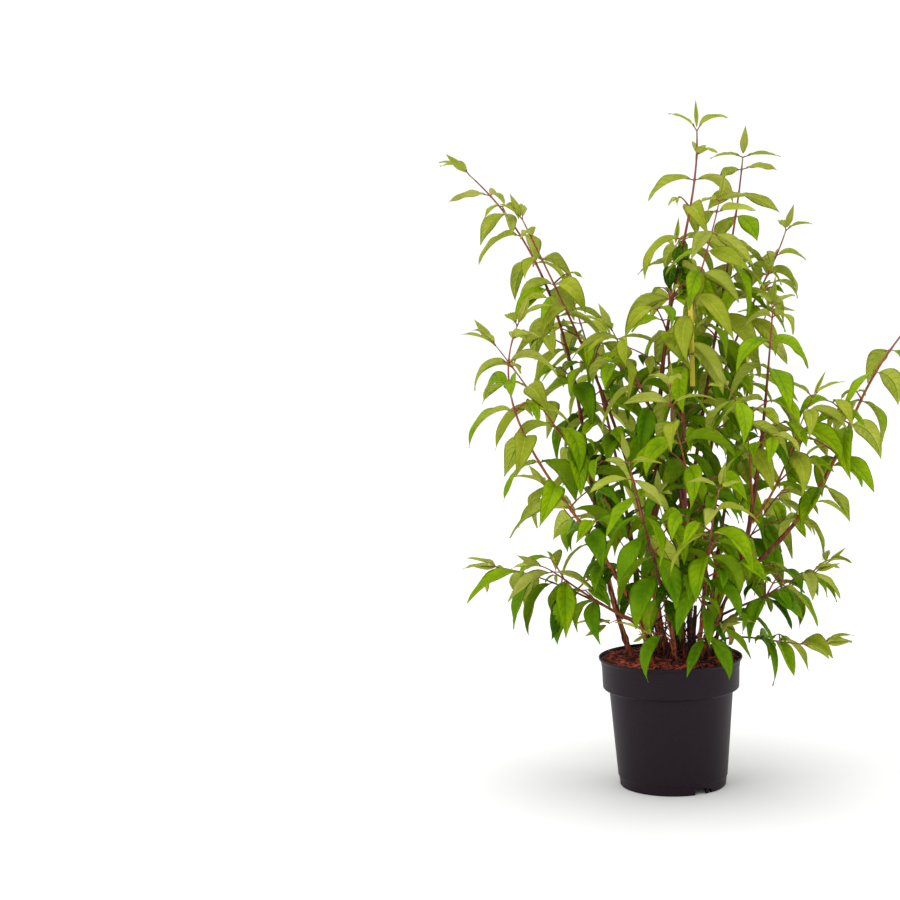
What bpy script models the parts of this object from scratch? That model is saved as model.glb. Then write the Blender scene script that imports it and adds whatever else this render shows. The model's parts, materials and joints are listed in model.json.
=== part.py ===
"""Deutzia shrub in its nursery pot: pot, potting bark, bare stems, leafy shoots and a blank label.

Metres, +Z up, origin at the centre of the pot's flat underside. The shrub's front faces -Y.
Every shoot follows one smooth course from its foot to its bud. Its lower share is a bare stem of its
own, and its upper share is a leafy mass: a stem that carries opposite pairs of leaves, each pair turned
across the one below, and short side twigs that carry smaller pairs.
"""

import math
import random
from collections import namedtuple

import bmesh
import bpy
from mathutils import Matrix, Vector
from mathutils.bvhtree import BVHTree

# Pot
POT_HEIGHT = 0.172
RIM_RADIUS = 0.0935
LIP_RADIUS = 0.095
LIP_HEIGHT = 0.006
BAND_HEIGHT = 0.042
BAND_RADIUS = 0.0895
BAND_BASE_RADIUS = 0.0885
UNDERCUT = 0.004
BODY_TOP_RADIUS = 0.0815
FOOT_RADIUS = 0.070
FOOT_STEP = 0.0012
FOOT_STEP_HEIGHT = 0.012
EDGE_ROUND = 0.0015
WALL = 0.0025
FLOOR = 0.014
POT_STEPS = 36
NOTCH_WIDTH = 0.017
NOTCH_HEIGHT = 0.010
NOTCH_DEPTH = 0.006
NOTCH_BEARINGS = (-59.0, 61.0, 181.0)

# Potting bark
SOIL_TOP = 0.164
GAP = 0.0003

# Stems
STEM_ROUNDNESS = 1
SHOOT_ROUNDNESS = 0
TWIG_ROUNDNESS = 0
STEM_STEP = 0.055
END_STEP = 0.008
FLARE = 1.5
FLARE_HEIGHT = 0.014
LEVEL_HEIGHT = 0.002
TIP_SHARE = 0.26
WAY_REACH = 0.004
CLEAR_STEP = 0.0005
CLEAR_TRIES = 90

# Leaf pairs along a shoot: gaps close up and leaves grow smaller, steeper and narrower towards the bud
GAP_AT_FOOT = 1.08
GAP_LOSS = 0.45
GAP_SPREAD = 0.12
LAST_GAP = 0.014
TIP_BACK = 0.004
AXIS_SPREAD = 0.25
HEADING_SPREAD = 0.2
FIRST_SIZE = 0.85
YOUNG_POWER = 4
YOUNG_SIZE_LOSS = 0.42
YOUNG_WIDTH_LOSS = 0.25
YOUNG_ROLL_LOSS = 0.6
YOUNG_RISE = 30.0
YOUNG_LIFT = 75.0
RISE = (0.0, 30.0)
FALL = (62.0, 98.0)
ROLL = 0.85
LENGTH_SHARE = (0.86, 1.08)
WIDTH_SHARE = (0.38, 0.46)
STEEP = 0.35
FORWARD = 0.35
YOUNG_FORWARD = 1.2
BUD_SHARE = 0.45
BUD_WIDTH = 0.22

# Side twigs
TWIG_ROOT_RADIUS = 0.0013
TWIG_TIP_RADIUS = 0.0008
TWIG_LENGTH = 0.062
TWIG_REACH = (0.55, 1.0)
TWIG_LOSS = 0.35
TWIG_TURN = 0.4
TWIG_LIFT = (28.0, 55.0)
TWIG_BEND = 0.25
TWIG_RISE = 0.004
TWIG_LEAF = 0.72
TWO_PAIRS = 0.045
PAIR_STEP = 0.52
PAIR_BACK = 0.002
PAIR_LOSS = 0.16
END_SPLAY = (0.55, 1.1)
SIDE_SPLAY = (1.1, 1.6)
SMALL_RISE = (10.0, 40.0)
SMALL_FALL = (45.0, 90.0)

# One leaf
LEAF_THICK = 0.0010
LEAF_FOLD = 0.05
WIDE_AT = 0.32
NARROW_AT = 0.68
NARROW_SHARE = 0.60
PETIOLE = 0.005
SINK_SHARE = 0.3
STALK_SHARE = 0.14
ARCH_STEPS = 12
ARCH_POWER = 0.65

# Joining
SKIN = 0.0004
GROUND_CLEAR = 0.002
TURNS = (0.0, 22.0, -22.0, 44.0, -44.0)
UNION_TRIES = 24
WELD = 0.000002
SCREW_WELD = 0.00001
NUDGE = 0.00004

Shoot = namedtuple(
    "Shoot",
    "name parent at foot lean tip nod sway thick bare first gap leaf twigs hang seed",
)
Leaf = namedtuple("Leaf", "root heading rise fall roll length width sink")
Twig = namedtuple("Twig", "root heading rise length pairs leaf")

# Each shoot: where it springs from (a share of its parent's course, or a point on the ground), the pull of
# its foot, its tip, the pull of its tip, a sideways sway, foot radius, bare share, first pair, pair gap,
# longest leaf, number of side twigs, how many degrees more its leaves hang, and its seed.
SHOOTS = (
    Shoot("centre", None, 0, (0.000, 0.000), (-0.145, 0.000, 0.260), (0.049, 0.005, 0.863),
          (-0.065, 0.000, 0.255), 0.027, 0.0042, 0.46, 0.064, 0.047, 0.079, 4, -14, 6459),
    Shoot("inner_right", None, 0, (0.016, 0.024), (-0.015, 0.005, 0.230), (0.109, 0.035, 0.829),
          (0.015, 0.005, 0.225), 0.004, 0.0037, 0.42, 0.029, 0.041, 0.080, 6, 18, 9742),
    Shoot("outer_right", None, 0, (0.030, 0.044), (-0.110, 0.020, 0.225), (0.167, 0.085, 0.733),
          (-0.015, 0.020, 0.195), 0.036, 0.0034, 0.46, 0.023, 0.043, 0.070, 7, -4, 8283),
    Shoot("red_middle", None, 0, (0.020, -0.002), (-0.080, -0.020, 0.195), (0.075, -0.055, 0.769),
          (-0.015, -0.020, 0.185), 0.025, 0.0030, 0.44, 0.009, 0.037, 0.080, 2, 24, 3733),
    Shoot("right_trunk", None, 0, (0.032, -0.022), (0.025, -0.005, 0.035), (0.090, -0.030, 0.280),
          (0.025, -0.005, 0.035), 0.000, 0.0046, 1.0, 0, 0, 0, 0, 0, 1),
    Shoot("left_bough", None, 0, (-0.050, 0.012), (-0.080, 0.015, 0.215), (-0.258, 0.060, 0.821),
          (-0.185, 0.015, 0.170), 0.000, 0.0036, 0.36, 0.024, 0.047, 0.083, 4, 3, 4490),
    Shoot("left_upright", None, 0, (-0.016, 0.016), (0.005, 0.005, 0.220), (-0.184, 0.030, 0.758),
          (-0.090, 0.005, 0.195), 0.000, 0.0034, 0.42, 0.035, 0.047, 0.074, 5, -18, 1454),
    Shoot("front_left", None, 0, (-0.022, -0.032), (-0.040, -0.025, 0.155), (-0.180, -0.120, 0.619),
          (0.052, -0.025, 0.140), 0.007, 0.0032, 0.36, 0.018, 0.040, 0.087, 2, -18, 3774),
    Shoot("left_lean", "inner_right", 0.22, None, (0.000, -0.020, 0.105), (-0.066, -0.050, 0.608),
          (-0.045, -0.025, 0.095), 0.000, 0.0026, 0.30, 0.009, 0.045, 0.080, 6, 0, 7084),
    Shoot("right_upright", "right_trunk", 0.995, None, (0.030, -0.010, 0.115), (0.139, -0.060, 0.633),
          (0.010, -0.010, 0.115), 0.000, 0.0034, 0.46, 0.022, 0.044, 0.077, 1, -10, 4938),
    Shoot("right_bough", "right_trunk", 0.93, None, (0.079, 0.010, 0.105), (0.347, 0.000, 0.638),
          (0.045, 0.010, 0.103), 0.020, 0.0032, 0.24, 0.009, 0.044, 0.077, 4, 14, 4992),
    Shoot("front_shoot", "right_trunk", 0.84, None, (0.005, -0.035, 0.080), (0.007, -0.130, 0.535),
          (0.035, -0.040, 0.090), -0.013, 0.0024, 0.36, 0.009, 0.035, 0.078, 3, -16, 3020),
    Shoot("mid_left", "left_upright", 0.16, None, (-0.060, -0.015, 0.105), (-0.218, -0.050, 0.593),
          (-0.080, -0.015, 0.090), 0.005, 0.0026, 0.24, 0.039, 0.040, 0.087, 3, -8, 4843),
    Shoot("low_left", "centre", 0.075, None, (-0.065, -0.015, -0.006), (-0.164, -0.060, 0.303),
          (-0.055, -0.015, 0.020), 0.005, 0.0028, 0.40, 0.021, 0.029, 0.077, 3, 26, 2212),
    Shoot("rear_left", None, 0, (-0.030, 0.040), (-0.020, 0.050, 0.180), (-0.125, 0.200, 0.640),
          (-0.050, 0.050, 0.150), 0.000, 0.0036, 0.34, 0.012, 0.056, 0.086, 1, 19, 90),
    Shoot("rear_middle", None, 0, (0.004, 0.050), (0.010, 0.050, 0.200), (0.020, 0.190, 0.720),
          (0.000, 0.040, 0.180), 0.012, 0.0038, 0.38, 0.012, 0.059, 0.083, 2, 1, 9884),
    Shoot("rear_right", None, 0, (0.048, 0.036), (0.020, 0.050, 0.170), (0.146, 0.200, 0.625),
          (0.040, 0.045, 0.140), 0.000, 0.0034, 0.34, 0.009, 0.061, 0.085, 2, 22, 671),
    Shoot("front_middle", None, 0, (0.008, -0.044), (-0.010, -0.040, 0.110), (-0.046, -0.180, 0.450),
          (-0.020, -0.035, 0.110), 0.000, 0.0030, 0.30, 0.015, 0.035, 0.078, 2, 26, 8777),
    Shoot("front_right", None, 0, (0.034, -0.046), (0.012, -0.035, 0.100), (0.064, -0.190, 0.416),
          (0.020, -0.040, 0.090), 0.000, 0.0030, 0.30, 0.009, 0.042, 0.076, 4, 2, 126),
    Shoot("tan_side", "right_upright", 0.27, None, (-0.005, -0.025, 0.060), (0.077, -0.110, 0.534),
          (-0.035, -0.025, 0.055), 0.000, 0.0018, 0, 0.062, 0.044, 0.078, 2, 21, 1615),
    Shoot("right_side", "right_upright", 0.20, None, (0.045, -0.010, 0.050), (0.188, -0.060, 0.517),
          (0.030, -0.010, 0.060), 0.000, 0.0020, 0, 0.051, 0.040, 0.074, 2, -12, 3153),
    Shoot("low_right", "right_trunk", 0.55, None, (0.060, 0.015, 0.020), (0.210, 0.025, 0.290),
          (0.050, 0.015, 0.030), -0.005, 0.0020, 0, 0.051, 0.037, 0.070, 3, 6, 974),
    Shoot("low_right_front", "right_trunk", 0.25, None, (0.030, -0.030, 0.040), (0.186, -0.075, 0.294),
          (0.035, -0.015, 0.015), 0.005, 0.0018, 0, 0.063, 0.038, 0.070, 4, 9, 3889),
    Shoot("lowest_right", "right_trunk", 0.08, None, (0.050, 0.020, 0.050), (0.202, -0.020, 0.190),
          (0.080, -0.010, 0.010), -0.004, 0.0018, 0, 0.042, 0.032, 0.073, 1, 0, 828),
    Shoot("inner_left", "left_upright", 0.15, None, (-0.025, 0.030, 0.020), (-0.089, 0.080, 0.343),
          (-0.025, 0.015, 0.015), 0.000, 0.0016, 0, 0.009, 0.036, 0.078, 1, 12, 8666),
    Shoot("far_low_left", "low_left", 0.38, None, (-0.035, 0.020, 0.016), (-0.231, 0.020, 0.290),
          (-0.045, 0.005, 0.002), 0.000, 0.0018, 0, 0.051, 0.027, 0.083, 0, 26, 2332),
    Shoot("skirt_left", "front_left", 0.10, None, (-0.020, -0.020, 0.020), (-0.081, -0.050, 0.223),
          (-0.025, -0.010, -0.012), 0.000, 0.0014, 0, 0.034, 0.026, 0.070, 2, 14, 268),
    Shoot("skirt_front", "front_middle", 0.10, None, (-0.005, -0.020, 0.020), (-0.030, -0.115, 0.221),
          (-0.010, -0.020, -0.004), 0.000, 0.0014, 0, 0.024, 0.027, 0.072, 2, 10, 1201),
    Shoot("skirt_right", "front_right", 0.10, None, (0.010, -0.010, 0.022), (0.068, -0.100, 0.231),
          (0.020, -0.020, 0.004), 0.000, 0.0014, 0, 0.009, 0.030, 0.070, 1, 26, 2449),
    Shoot("rear_low_left", "rear_left", 0.12, None, (-0.030, 0.020, 0.050), (-0.170, 0.130, 0.390),
          (-0.040, 0.020, 0.050), 0.000, 0.0020, 0, 0.047, 0.051, 0.078, 1, 7, 1622),
    Shoot("rear_low", "rear_middle", 0.13, None, (-0.005, 0.040, 0.050), (-0.020, 0.230, 0.350),
          (-0.005, 0.050, 0.040), 0.000, 0.0020, 0, 0.056, 0.054, 0.086, 2, 18, 5182),
    Shoot("rear_low_right", "rear_right", 0.12, None, (0.030, 0.025, 0.050), (0.161, 0.160, 0.374),
          (0.040, 0.030, 0.040), 0.000, 0.0020, 0, 0.065, 0.046, 0.083, 3, 24, 1714),
    Shoot("inner_front", "red_middle", 0.18, None, (0.000, -0.030, 0.050), (-0.010, -0.110, 0.400),
          (0.000, -0.020, 0.050), 0.000, 0.0018, 0, 0.028, 0.040, 0.074, 2, 15, 1839),
    Shoot("inner_rear", "inner_right", 0.30, None, (0.010, 0.030, 0.050), (0.080, 0.120, 0.520),
          (0.010, 0.025, 0.050), 0.000, 0.0018, 0, 0.028, 0.040, 0.081, 1, 0, 661),
)

# Blank strap label, looped round the leaning stem of one shoot
LABEL_SHOOT = "red_middle"
LABEL_HEIGHT = 0.622
LABEL_WIDTH = 0.0065
LABEL_THICK = 0.0008
LOOP_HALF = 0.0024
LOOP_TOP = 0.019
LOOP_SIDE = 0.017
LOOP_APEX = 0.027
LABEL_TAIL = 0.092
LOOP_STEPS = 6

COLOURS = {
    "pot_plastic": ((0.024, 0.020, 0.023, 1.0), 0.38),
    "potting_bark": ((0.100, 0.040, 0.022, 1.0), 0.92),
    "stem_bark": ((0.200, 0.085, 0.042, 1.0), 0.72),
    "leaf_green": ((0.130, 0.270, 0.022, 1.0), 0.50),
    "label_yellow": ((0.700, 0.560, 0.045, 1.0), 0.45),
}


def material(name):
    """Principled material of one of the named colours."""
    found = bpy.data.materials.get(name)
    if found:
        return found
    colour, roughness = COLOURS[name]
    made = bpy.data.materials.new(name)
    made.use_nodes = True
    made.diffuse_color = colour
    shader = made.node_tree.nodes["Principled BSDF"]
    shader.inputs["Base Color"].default_value = colour
    shader.inputs["Roughness"].default_value = roughness
    shader.inputs["Metallic"].default_value = 0.0
    return made


def collection(name, shown=True):
    """Scene collection of that name."""
    found = bpy.data.collections.get(name)
    if not found:
        found = bpy.data.collections.new(name)
        bpy.context.scene.collection.children.link(found)
        found.hide_render = not shown
    return found


def add_object(name, mesh, look, into):
    """Links a new mesh object with its material."""
    made = bpy.data.objects.new(name, mesh)
    if look:
        mesh.materials.clear()
        mesh.materials.append(material(look))
    into.objects.link(made)
    return made


def tidy(mesh):
    """Welds a mesh and turns its faces outward."""
    form = bmesh.new()
    form.from_mesh(mesh)
    bmesh.ops.remove_doubles(form, verts=form.verts, dist=WELD)
    bmesh.ops.recalc_face_normals(form, faces=form.faces)
    form.to_mesh(mesh)
    form.free()


def screw(name, profile, steps, look, into):
    """Turns an (r, z) profile round the Z axis with the Screw modifier and applies it."""
    mesh = bpy.data.meshes.new(name)
    verts = [(r, 0.0, z) for r, z in profile]
    mesh.from_pydata(verts, [(i, i + 1) for i in range(len(verts) - 1)], [])
    made = add_object(name, mesh, None, into)
    turn = made.modifiers.new("turn", "SCREW")
    turn.axis = "Z"
    turn.steps = steps
    turn.render_steps = steps
    turn.use_merge_vertices = True
    turn.merge_threshold = SCREW_WELD
    turn.use_smooth_shade = False
    bpy.context.view_layer.update()
    graph = bpy.context.evaluated_depsgraph_get()
    solid = bpy.data.meshes.new_from_object(made.evaluated_get(graph))
    made.modifiers.remove(turn)
    made.data = solid
    bpy.data.meshes.remove(mesh)
    tidy(solid)
    solid.name = name
    solid.materials.clear()
    solid.materials.append(material(look))
    return made


def smooth(thing, degrees=40.0):
    """Smooth shading with sharp corners kept."""
    thing.data.shade_smooth()
    thing.data.set_sharp_from_angle(angle=math.radians(degrees))


def pot_profile():
    """Closed half-section of the pot, from the floor's centre up the inside and down the outside."""
    band_base = POT_HEIGHT - BAND_HEIGHT
    inner_foot = FOOT_RADIUS - WALL
    inner_top = BODY_TOP_RADIUS - WALL
    return (
        (0.0, FLOOR),
        (inner_foot, FLOOR),
        (inner_top, band_base - UNDERCUT),
        (BAND_RADIUS - 2 * WALL, band_base + 2 * UNDERCUT),
        (RIM_RADIUS - 2 * WALL, POT_HEIGHT - EDGE_ROUND),
        (RIM_RADIUS - 2 * WALL + EDGE_ROUND, POT_HEIGHT),
        (LIP_RADIUS - EDGE_ROUND, POT_HEIGHT),
        (LIP_RADIUS, POT_HEIGHT - EDGE_ROUND),
        (LIP_RADIUS, POT_HEIGHT - LIP_HEIGHT),
        (BAND_RADIUS + 2 * EDGE_ROUND, POT_HEIGHT - LIP_HEIGHT - EDGE_ROUND),
        (BAND_RADIUS + EDGE_ROUND, POT_HEIGHT - LIP_HEIGHT - 2 * EDGE_ROUND),
        (BAND_BASE_RADIUS + EDGE_ROUND, band_base + EDGE_ROUND),
        (BAND_BASE_RADIUS, band_base),
        (BODY_TOP_RADIUS + EDGE_ROUND, band_base - EDGE_ROUND),
        (BODY_TOP_RADIUS, band_base - UNDERCUT),
        (FOOT_RADIUS + 2 * FOOT_STEP, FOOT_STEP_HEIGHT + EDGE_ROUND),
        (FOOT_RADIUS + FOOT_STEP, FOOT_STEP_HEIGHT),
        (FOOT_RADIUS, EDGE_ROUND),
        (FOOT_RADIUS - EDGE_ROUND, 0.0),
        (0.0, 0.0),
    )


def inside_radius(height):
    """Radius of the pot's inner wall at a height."""
    rows = [(z, r) for r, z in pot_profile()[1:5]]
    for (z0, r0), (z1, r1) in zip(rows, rows[1:]):
        if z0 <= height <= z1:
            return r0 + (r1 - r0) * (height - z0) / (z1 - z0)
    return rows[-1][1]


def box(name, size, centre, turn, into):
    """A box in a collection, turned about Z."""
    mesh = bpy.data.meshes.new(name)
    form = bmesh.new()
    bmesh.ops.create_cube(form, size=1.0)
    bmesh.ops.scale(form, vec=size, verts=form.verts)
    form.to_mesh(mesh)
    form.free()
    made = bpy.data.objects.new(name, mesh)
    made.location = centre
    made.rotation_euler = (0.0, 0.0, turn)
    into.objects.link(made)
    return made


def build_pot(shown, cutters):
    """The pot with its blind drain notches."""
    pot = screw("pot", pot_profile(), POT_STEPS, "pot_plastic", shown)
    depth = 2 * NOTCH_DEPTH
    for count, bearing in enumerate(NOTCH_BEARINGS, 1):
        angle = math.radians(bearing)
        reach = FOOT_RADIUS + FOOT_STEP
        spot = (reach * math.cos(angle), reach * math.sin(angle), 0.0)
        size = (depth, NOTCH_WIDTH, 2 * NOTCH_HEIGHT)
        cutter = box(f"notch_{count}", size, spot, angle, cutters)
        cutter.display_type = "WIRE"
        cutter.hide_render = True
        cut = pot.modifiers.new(f"notch_{count}", "BOOLEAN")
        cut.operation = "DIFFERENCE"
        cut.object = cutter
        cut.solver = "EXACT"
    smooth(pot)
    return pot


def build_soil(shown):
    """Potting bark that fills the pot, with a flat top where the stems are cut."""
    low = FLOOR + GAP
    knee = POT_HEIGHT - BAND_HEIGHT - UNDERCUT
    bend = POT_HEIGHT - BAND_HEIGHT + 2 * UNDERCUT
    profile = (
        (0.0, SOIL_TOP),
        (inside_radius(SOIL_TOP) - 2 * GAP, SOIL_TOP),
        (inside_radius(bend) - 2 * GAP, bend),
        (inside_radius(knee) - 2 * GAP, knee),
        (inside_radius(low) - 2 * GAP, low),
        (0.0, low),
    )
    return screw("potting_bark", profile, POT_STEPS, "potting_bark", shown)


def bezier(a, b, c, d, t):
    """Point of a cubic curve at t."""
    s = 1.0 - t
    return a * s**3 + b * (3 * s * s * t) + c * (3 * s * t * t) + d * t**3


def course(shoot, foot, t):
    """Point of a shoot's course at share t."""
    tip = Vector(shoot.tip)
    point = bezier(foot, foot + Vector(shoot.lean), tip - Vector(shoot.nod), tip, t)
    point.x += shoot.sway * math.sin(2 * math.pi * t)
    return point


class Course:
    """A shoot's course as evenly sampled points with their arc lengths."""

    SAMPLES = 160

    def __init__(self, point_at):
        self.points = [point_at(i / self.SAMPLES) for i in range(self.SAMPLES + 1)]
        self.arc = [0.0]
        for a, b in zip(self.points, self.points[1:]):
            self.arc.append(self.arc[-1] + (b - a).length)
        self.length = self.arc[-1]

    def at(self, run):
        """Point at an arc length."""
        run = min(max(run, 0.0), self.length)
        for i in range(1, len(self.arc)):
            if self.arc[i] >= run:
                span = self.arc[i] - self.arc[i - 1]
                share = (run - self.arc[i - 1]) / span if span else 0.0
                return self.points[i - 1].lerp(self.points[i], share)
        return self.points[-1].copy()

    def way(self, run):
        """Direction at an arc length."""
        return (self.at(run + WAY_REACH) - self.at(run - WAY_REACH)).normalized()


def cross_axes(way):
    """Two directions square to a way that isn't level with the Y axis."""
    aside = way.cross(Vector((0.0, 1.0, 0.0))).normalized()
    return aside, aside.cross(way).normalized()


def tube_mesh(name, points, radii, roundness):
    """Closed tapering tube: a curve with a bevel and filled caps, made a mesh and welded."""
    curve = bpy.data.curves.new(name, "CURVE")
    curve.dimensions = "3D"
    curve.bevel_depth = 1.0
    curve.bevel_resolution = roundness
    curve.use_fill_caps = True
    spline = curve.splines.new("POLY")
    spline.points.add(len(points) - 1)
    for knot, point, radius in zip(spline.points, points, radii):
        knot.co = (*point, 1.0)
        knot.radius = radius
    holder = bpy.data.objects.new(name, curve)
    mesh = bpy.data.meshes.new_from_object(holder)
    bpy.data.objects.remove(holder)
    bpy.data.curves.remove(curve)
    tidy(mesh)
    mesh.name = name
    return mesh


def radius_at(shoot, line, run):
    """Radius of a shoot at an arc length, from its foot to its bud."""
    share = run / line.length
    radius = shoot.thick * (1.0 - (1.0 - TIP_SHARE) * share)
    if shoot.parent is None and run < FLARE_HEIGHT:
        radius *= 1.0 + (FLARE - 1.0) * (1.0 - run / FLARE_HEIGHT) ** 2
    return radius


def tree_of(mesh):
    """Search tree of a mesh's faces."""
    form = bmesh.new()
    form.from_mesh(mesh)
    found = BVHTree.FromBMesh(form)
    form.free()
    return found


def swollen_tree(mesh, skin):
    """Search tree of a mesh pushed out along its normals."""
    form = bmesh.new()
    form.from_mesh(mesh)
    form.normal_update()
    moved = [v.co + v.normal * skin for v in form.verts]
    faces = [[v.index for v in f.verts] for f in form.faces]
    form.free()
    return BVHTree.FromPolygons(moved, faces)


def buried(point, tree):
    """Whether a point lies within a closed solid."""
    hit, normal, _, _ = tree.find_nearest(point)
    return hit is not None and (point - hit).dot(normal) < 0.0


def stretch(start, end, step):
    """Arc lengths from start to end, evenly spaced between a point close to each end."""
    low, high = start + END_STEP, end - END_STEP
    count = max(1, round((high - low) / step))
    return [start] + [low + (high - low) * i / count for i in range(count + 1)] + [end]


def stem_mesh(name, shoot, line, start, end, roundness, step):
    """Tube along a part of a shoot's course, cut level where it stands on the ground."""
    runs = stretch(start, end, step)
    points = [line.at(r) for r in runs]
    radii = [radius_at(shoot, line, r) for r in runs]
    if shoot.parent is None and start == 0.0:
        points[1:1] = [points[0] + Vector((0.0, 0.0, LEVEL_HEIGHT))]
        radii[1:1] = [radius_at(shoot, line, LEVEL_HEIGHT)]
    return tube_mesh(name, points, radii, roundness)


def clear_start(shoot, line, end, roundness, step, others):
    """Arc length from which a shoot's own tube stands clear of the solids it springs from."""
    run = 0.0
    for _ in range(CLEAR_TRIES):
        mesh = stem_mesh("trial", shoot, line, run, end, roundness, step)
        tree = swollen_tree(mesh, GAP)
        bpy.data.meshes.remove(mesh)
        if not any(buried(line.at(run), other) or tree.overlap(other) for other in others):
            break
        run += CLEAR_STEP
    return run


def level(way):
    """Horizontal share of a direction."""
    return Vector((way.x, way.y, 0.0))


def heading_of(out, way, young):
    """Compass heading of a leaf: outward from its stem, and the more forward the younger it is."""
    flat = level(out)
    if flat.length < STEEP:
        flat = Vector((-way.y, way.x, 0.0)) * (1.0 if out.z >= 0 else -1.0)
    flat = flat.normalized() + level(way) * (FORWARD + YOUNG_FORWARD * young)
    return math.atan2(flat.y, flat.x)


def leaf_mesh(leaf, turn=0.0, stalk=0.0):
    """A leaf as a thin closed solid: root, two three-sided sections and a hanging tip."""
    angle = leaf.heading + math.radians(turn)
    out = Vector((math.cos(angle), math.sin(angle), 0.0))
    aside = Vector((-out.y, out.x, 0.0))
    spine = [leaf.root + out * leaf.sink]
    tilts = [leaf.rise]
    total = leaf.length + PETIOLE
    for i in range(ARCH_STEPS):
        share = (i + 0.5) / ARCH_STEPS
        tilt = leaf.rise - (leaf.rise + leaf.fall) * share**ARCH_POWER
        spine.append(spine[-1] + (out * math.cos(tilt) + Vector((0, 0, 1)) * math.sin(tilt)) * total / ARCH_STEPS)
        tilts.append(tilt)
    form = bmesh.new()
    root = form.verts.new(spine[0].lerp(spine[-1], stalk))
    tip = form.verts.new(spine[-1])
    rings = []
    for share, width in ((WIDE_AT, leaf.width), (NARROW_AT, leaf.width * NARROW_SHARE)):
        place = (PETIOLE + leaf.length * share) / total * ARCH_STEPS
        i = int(place)
        point = spine[i].lerp(spine[i + 1], place - i)
        up = -out * math.sin(tilts[i + 1]) + Vector((0, 0, 1)) * math.cos(tilts[i + 1])
        edge = aside * math.cos(leaf.roll) + up * math.sin(leaf.roll)
        face = up * math.cos(leaf.roll) - aside * math.sin(leaf.roll)
        lift = face * width * LEAF_FOLD
        ring = [point + edge * width / 2 + lift, point - edge * width / 2 + lift, point - face * LEAF_THICK]
        rings.append([form.verts.new(p) for p in ring])
    for k in range(3):
        n = (k + 1) % 3
        form.faces.new((root, rings[0][k], rings[0][n]))
        form.faces.new((rings[0][k], rings[1][k], rings[1][n]))
        form.faces.new((rings[0][k], rings[1][n], rings[0][n]))
        form.faces.new((rings[1][k], tip, rings[1][n]))
    bmesh.ops.recalc_face_normals(form, faces=form.faces)
    mesh = bpy.data.meshes.new("leaf")
    form.to_mesh(mesh)
    form.free()
    return mesh


def pair_runs(shoot, line, start, rng):
    """Arc lengths of a shoot's leaf pairs, the last one at its bud."""
    runs = []
    run = start + shoot.first
    while run < line.length - LAST_GAP:
        runs.append(run)
        share = (run - start) / (line.length - start)
        spread = rng.uniform(1.0 - GAP_SPREAD, 1.0 + GAP_SPREAD)
        run += shoot.gap * (GAP_AT_FOOT - GAP_LOSS * share) * spread
    return runs + [line.length - TIP_BACK]


def pair_leaf(shoot, point, out, way, young, size, sink, rng):
    """One leaf of a pair: the younger it is, the more it points forward and up."""
    return Leaf(
        point,
        heading_of(out, way, young) + rng.uniform(-HEADING_SPREAD, HEADING_SPREAD),
        math.radians(rng.uniform(*RISE) + YOUNG_RISE * young - shoot.hang),
        math.radians(rng.uniform(*FALL) - YOUNG_LIFT * young),
        rng.uniform(-ROLL, ROLL) * (1.0 - YOUNG_ROLL_LOSS * young),
        size * rng.uniform(*LENGTH_SHARE),
        size * rng.uniform(*WIDTH_SHARE) * (1.0 - YOUNG_WIDTH_LOSS * young),
        sink,
    )


def side_twig(line, run, heading, share, size, rng):
    """One side twig, with two pairs of leaves where it is long enough."""
    turn = rng.uniform(-TWIG_TURN, TWIG_TURN)
    length = TWIG_LENGTH * rng.uniform(*TWIG_REACH) * (1.0 - TWIG_LOSS * share)
    lift = math.radians(rng.uniform(*TWIG_LIFT))
    pairs = 2 if length > TWO_PAIRS else 1
    return Twig(line.at(run + TWIG_RISE), heading + turn, lift, length, pairs, size * TWIG_LEAF)


def end_bud(shoot, line, spin):
    """The bud that ends a shoot, straight along its course."""
    end = line.length - TIP_BACK
    way = line.way(end)
    rise = math.asin(max(-1.0, min(1.0, way.z)))
    length = shoot.leaf * BUD_SHARE
    return Leaf(line.at(end), math.atan2(way.y, way.x), rise, -rise, spin, length, length * BUD_WIDTH, 0.0)


def grow(shoot, line, start, rng):
    """Leaves and side twigs of a shoot, by its seeded rule."""
    leaves, twigs = [], []
    spin = rng.uniform(0.0, math.pi)
    runs = pair_runs(shoot, line, start, rng)
    for count, run in enumerate(runs):
        share = count / max(1, len(runs) - 1)
        young = share**YOUNG_POWER
        point, way = line.at(run), line.way(run)
        aside, up = cross_axes(way)
        angle = spin + count * math.pi / 2 + rng.uniform(-AXIS_SPREAD, AXIS_SPREAD)
        axis = aside * math.cos(angle) + up * math.sin(angle)
        size = shoot.leaf * (1.0 - YOUNG_SIZE_LOSS * young) * (1.0 if count else FIRST_SIZE)
        sink = radius_at(shoot, line, run) * SINK_SHARE
        for side, out in enumerate((axis, -axis)):
            leaves.append(pair_leaf(shoot, point, out, way, young, size, sink, rng))
            twig = side_twig(line, run, heading_of(out, way, young), share, size, rng)
            if count < len(runs) - 2 and len(twigs) < shoot.twigs and (count + side) % 2:
                twigs.append(twig)
    return leaves + [end_bud(shoot, line, spin)], twigs


def twig_line(twig):
    """Course of a side twig, which rises and then bends level."""
    out = Vector((math.cos(twig.heading), math.sin(twig.heading), 0.0))
    top = Vector((0.0, 0.0, 1.0))

    def point_at(t):
        lift = math.sin(twig.rise) * twig.length * (t - TWIG_BEND * t * t)
        return twig.root + out * (math.cos(twig.rise) * twig.length * t) + top * lift

    return Course(point_at)


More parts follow.
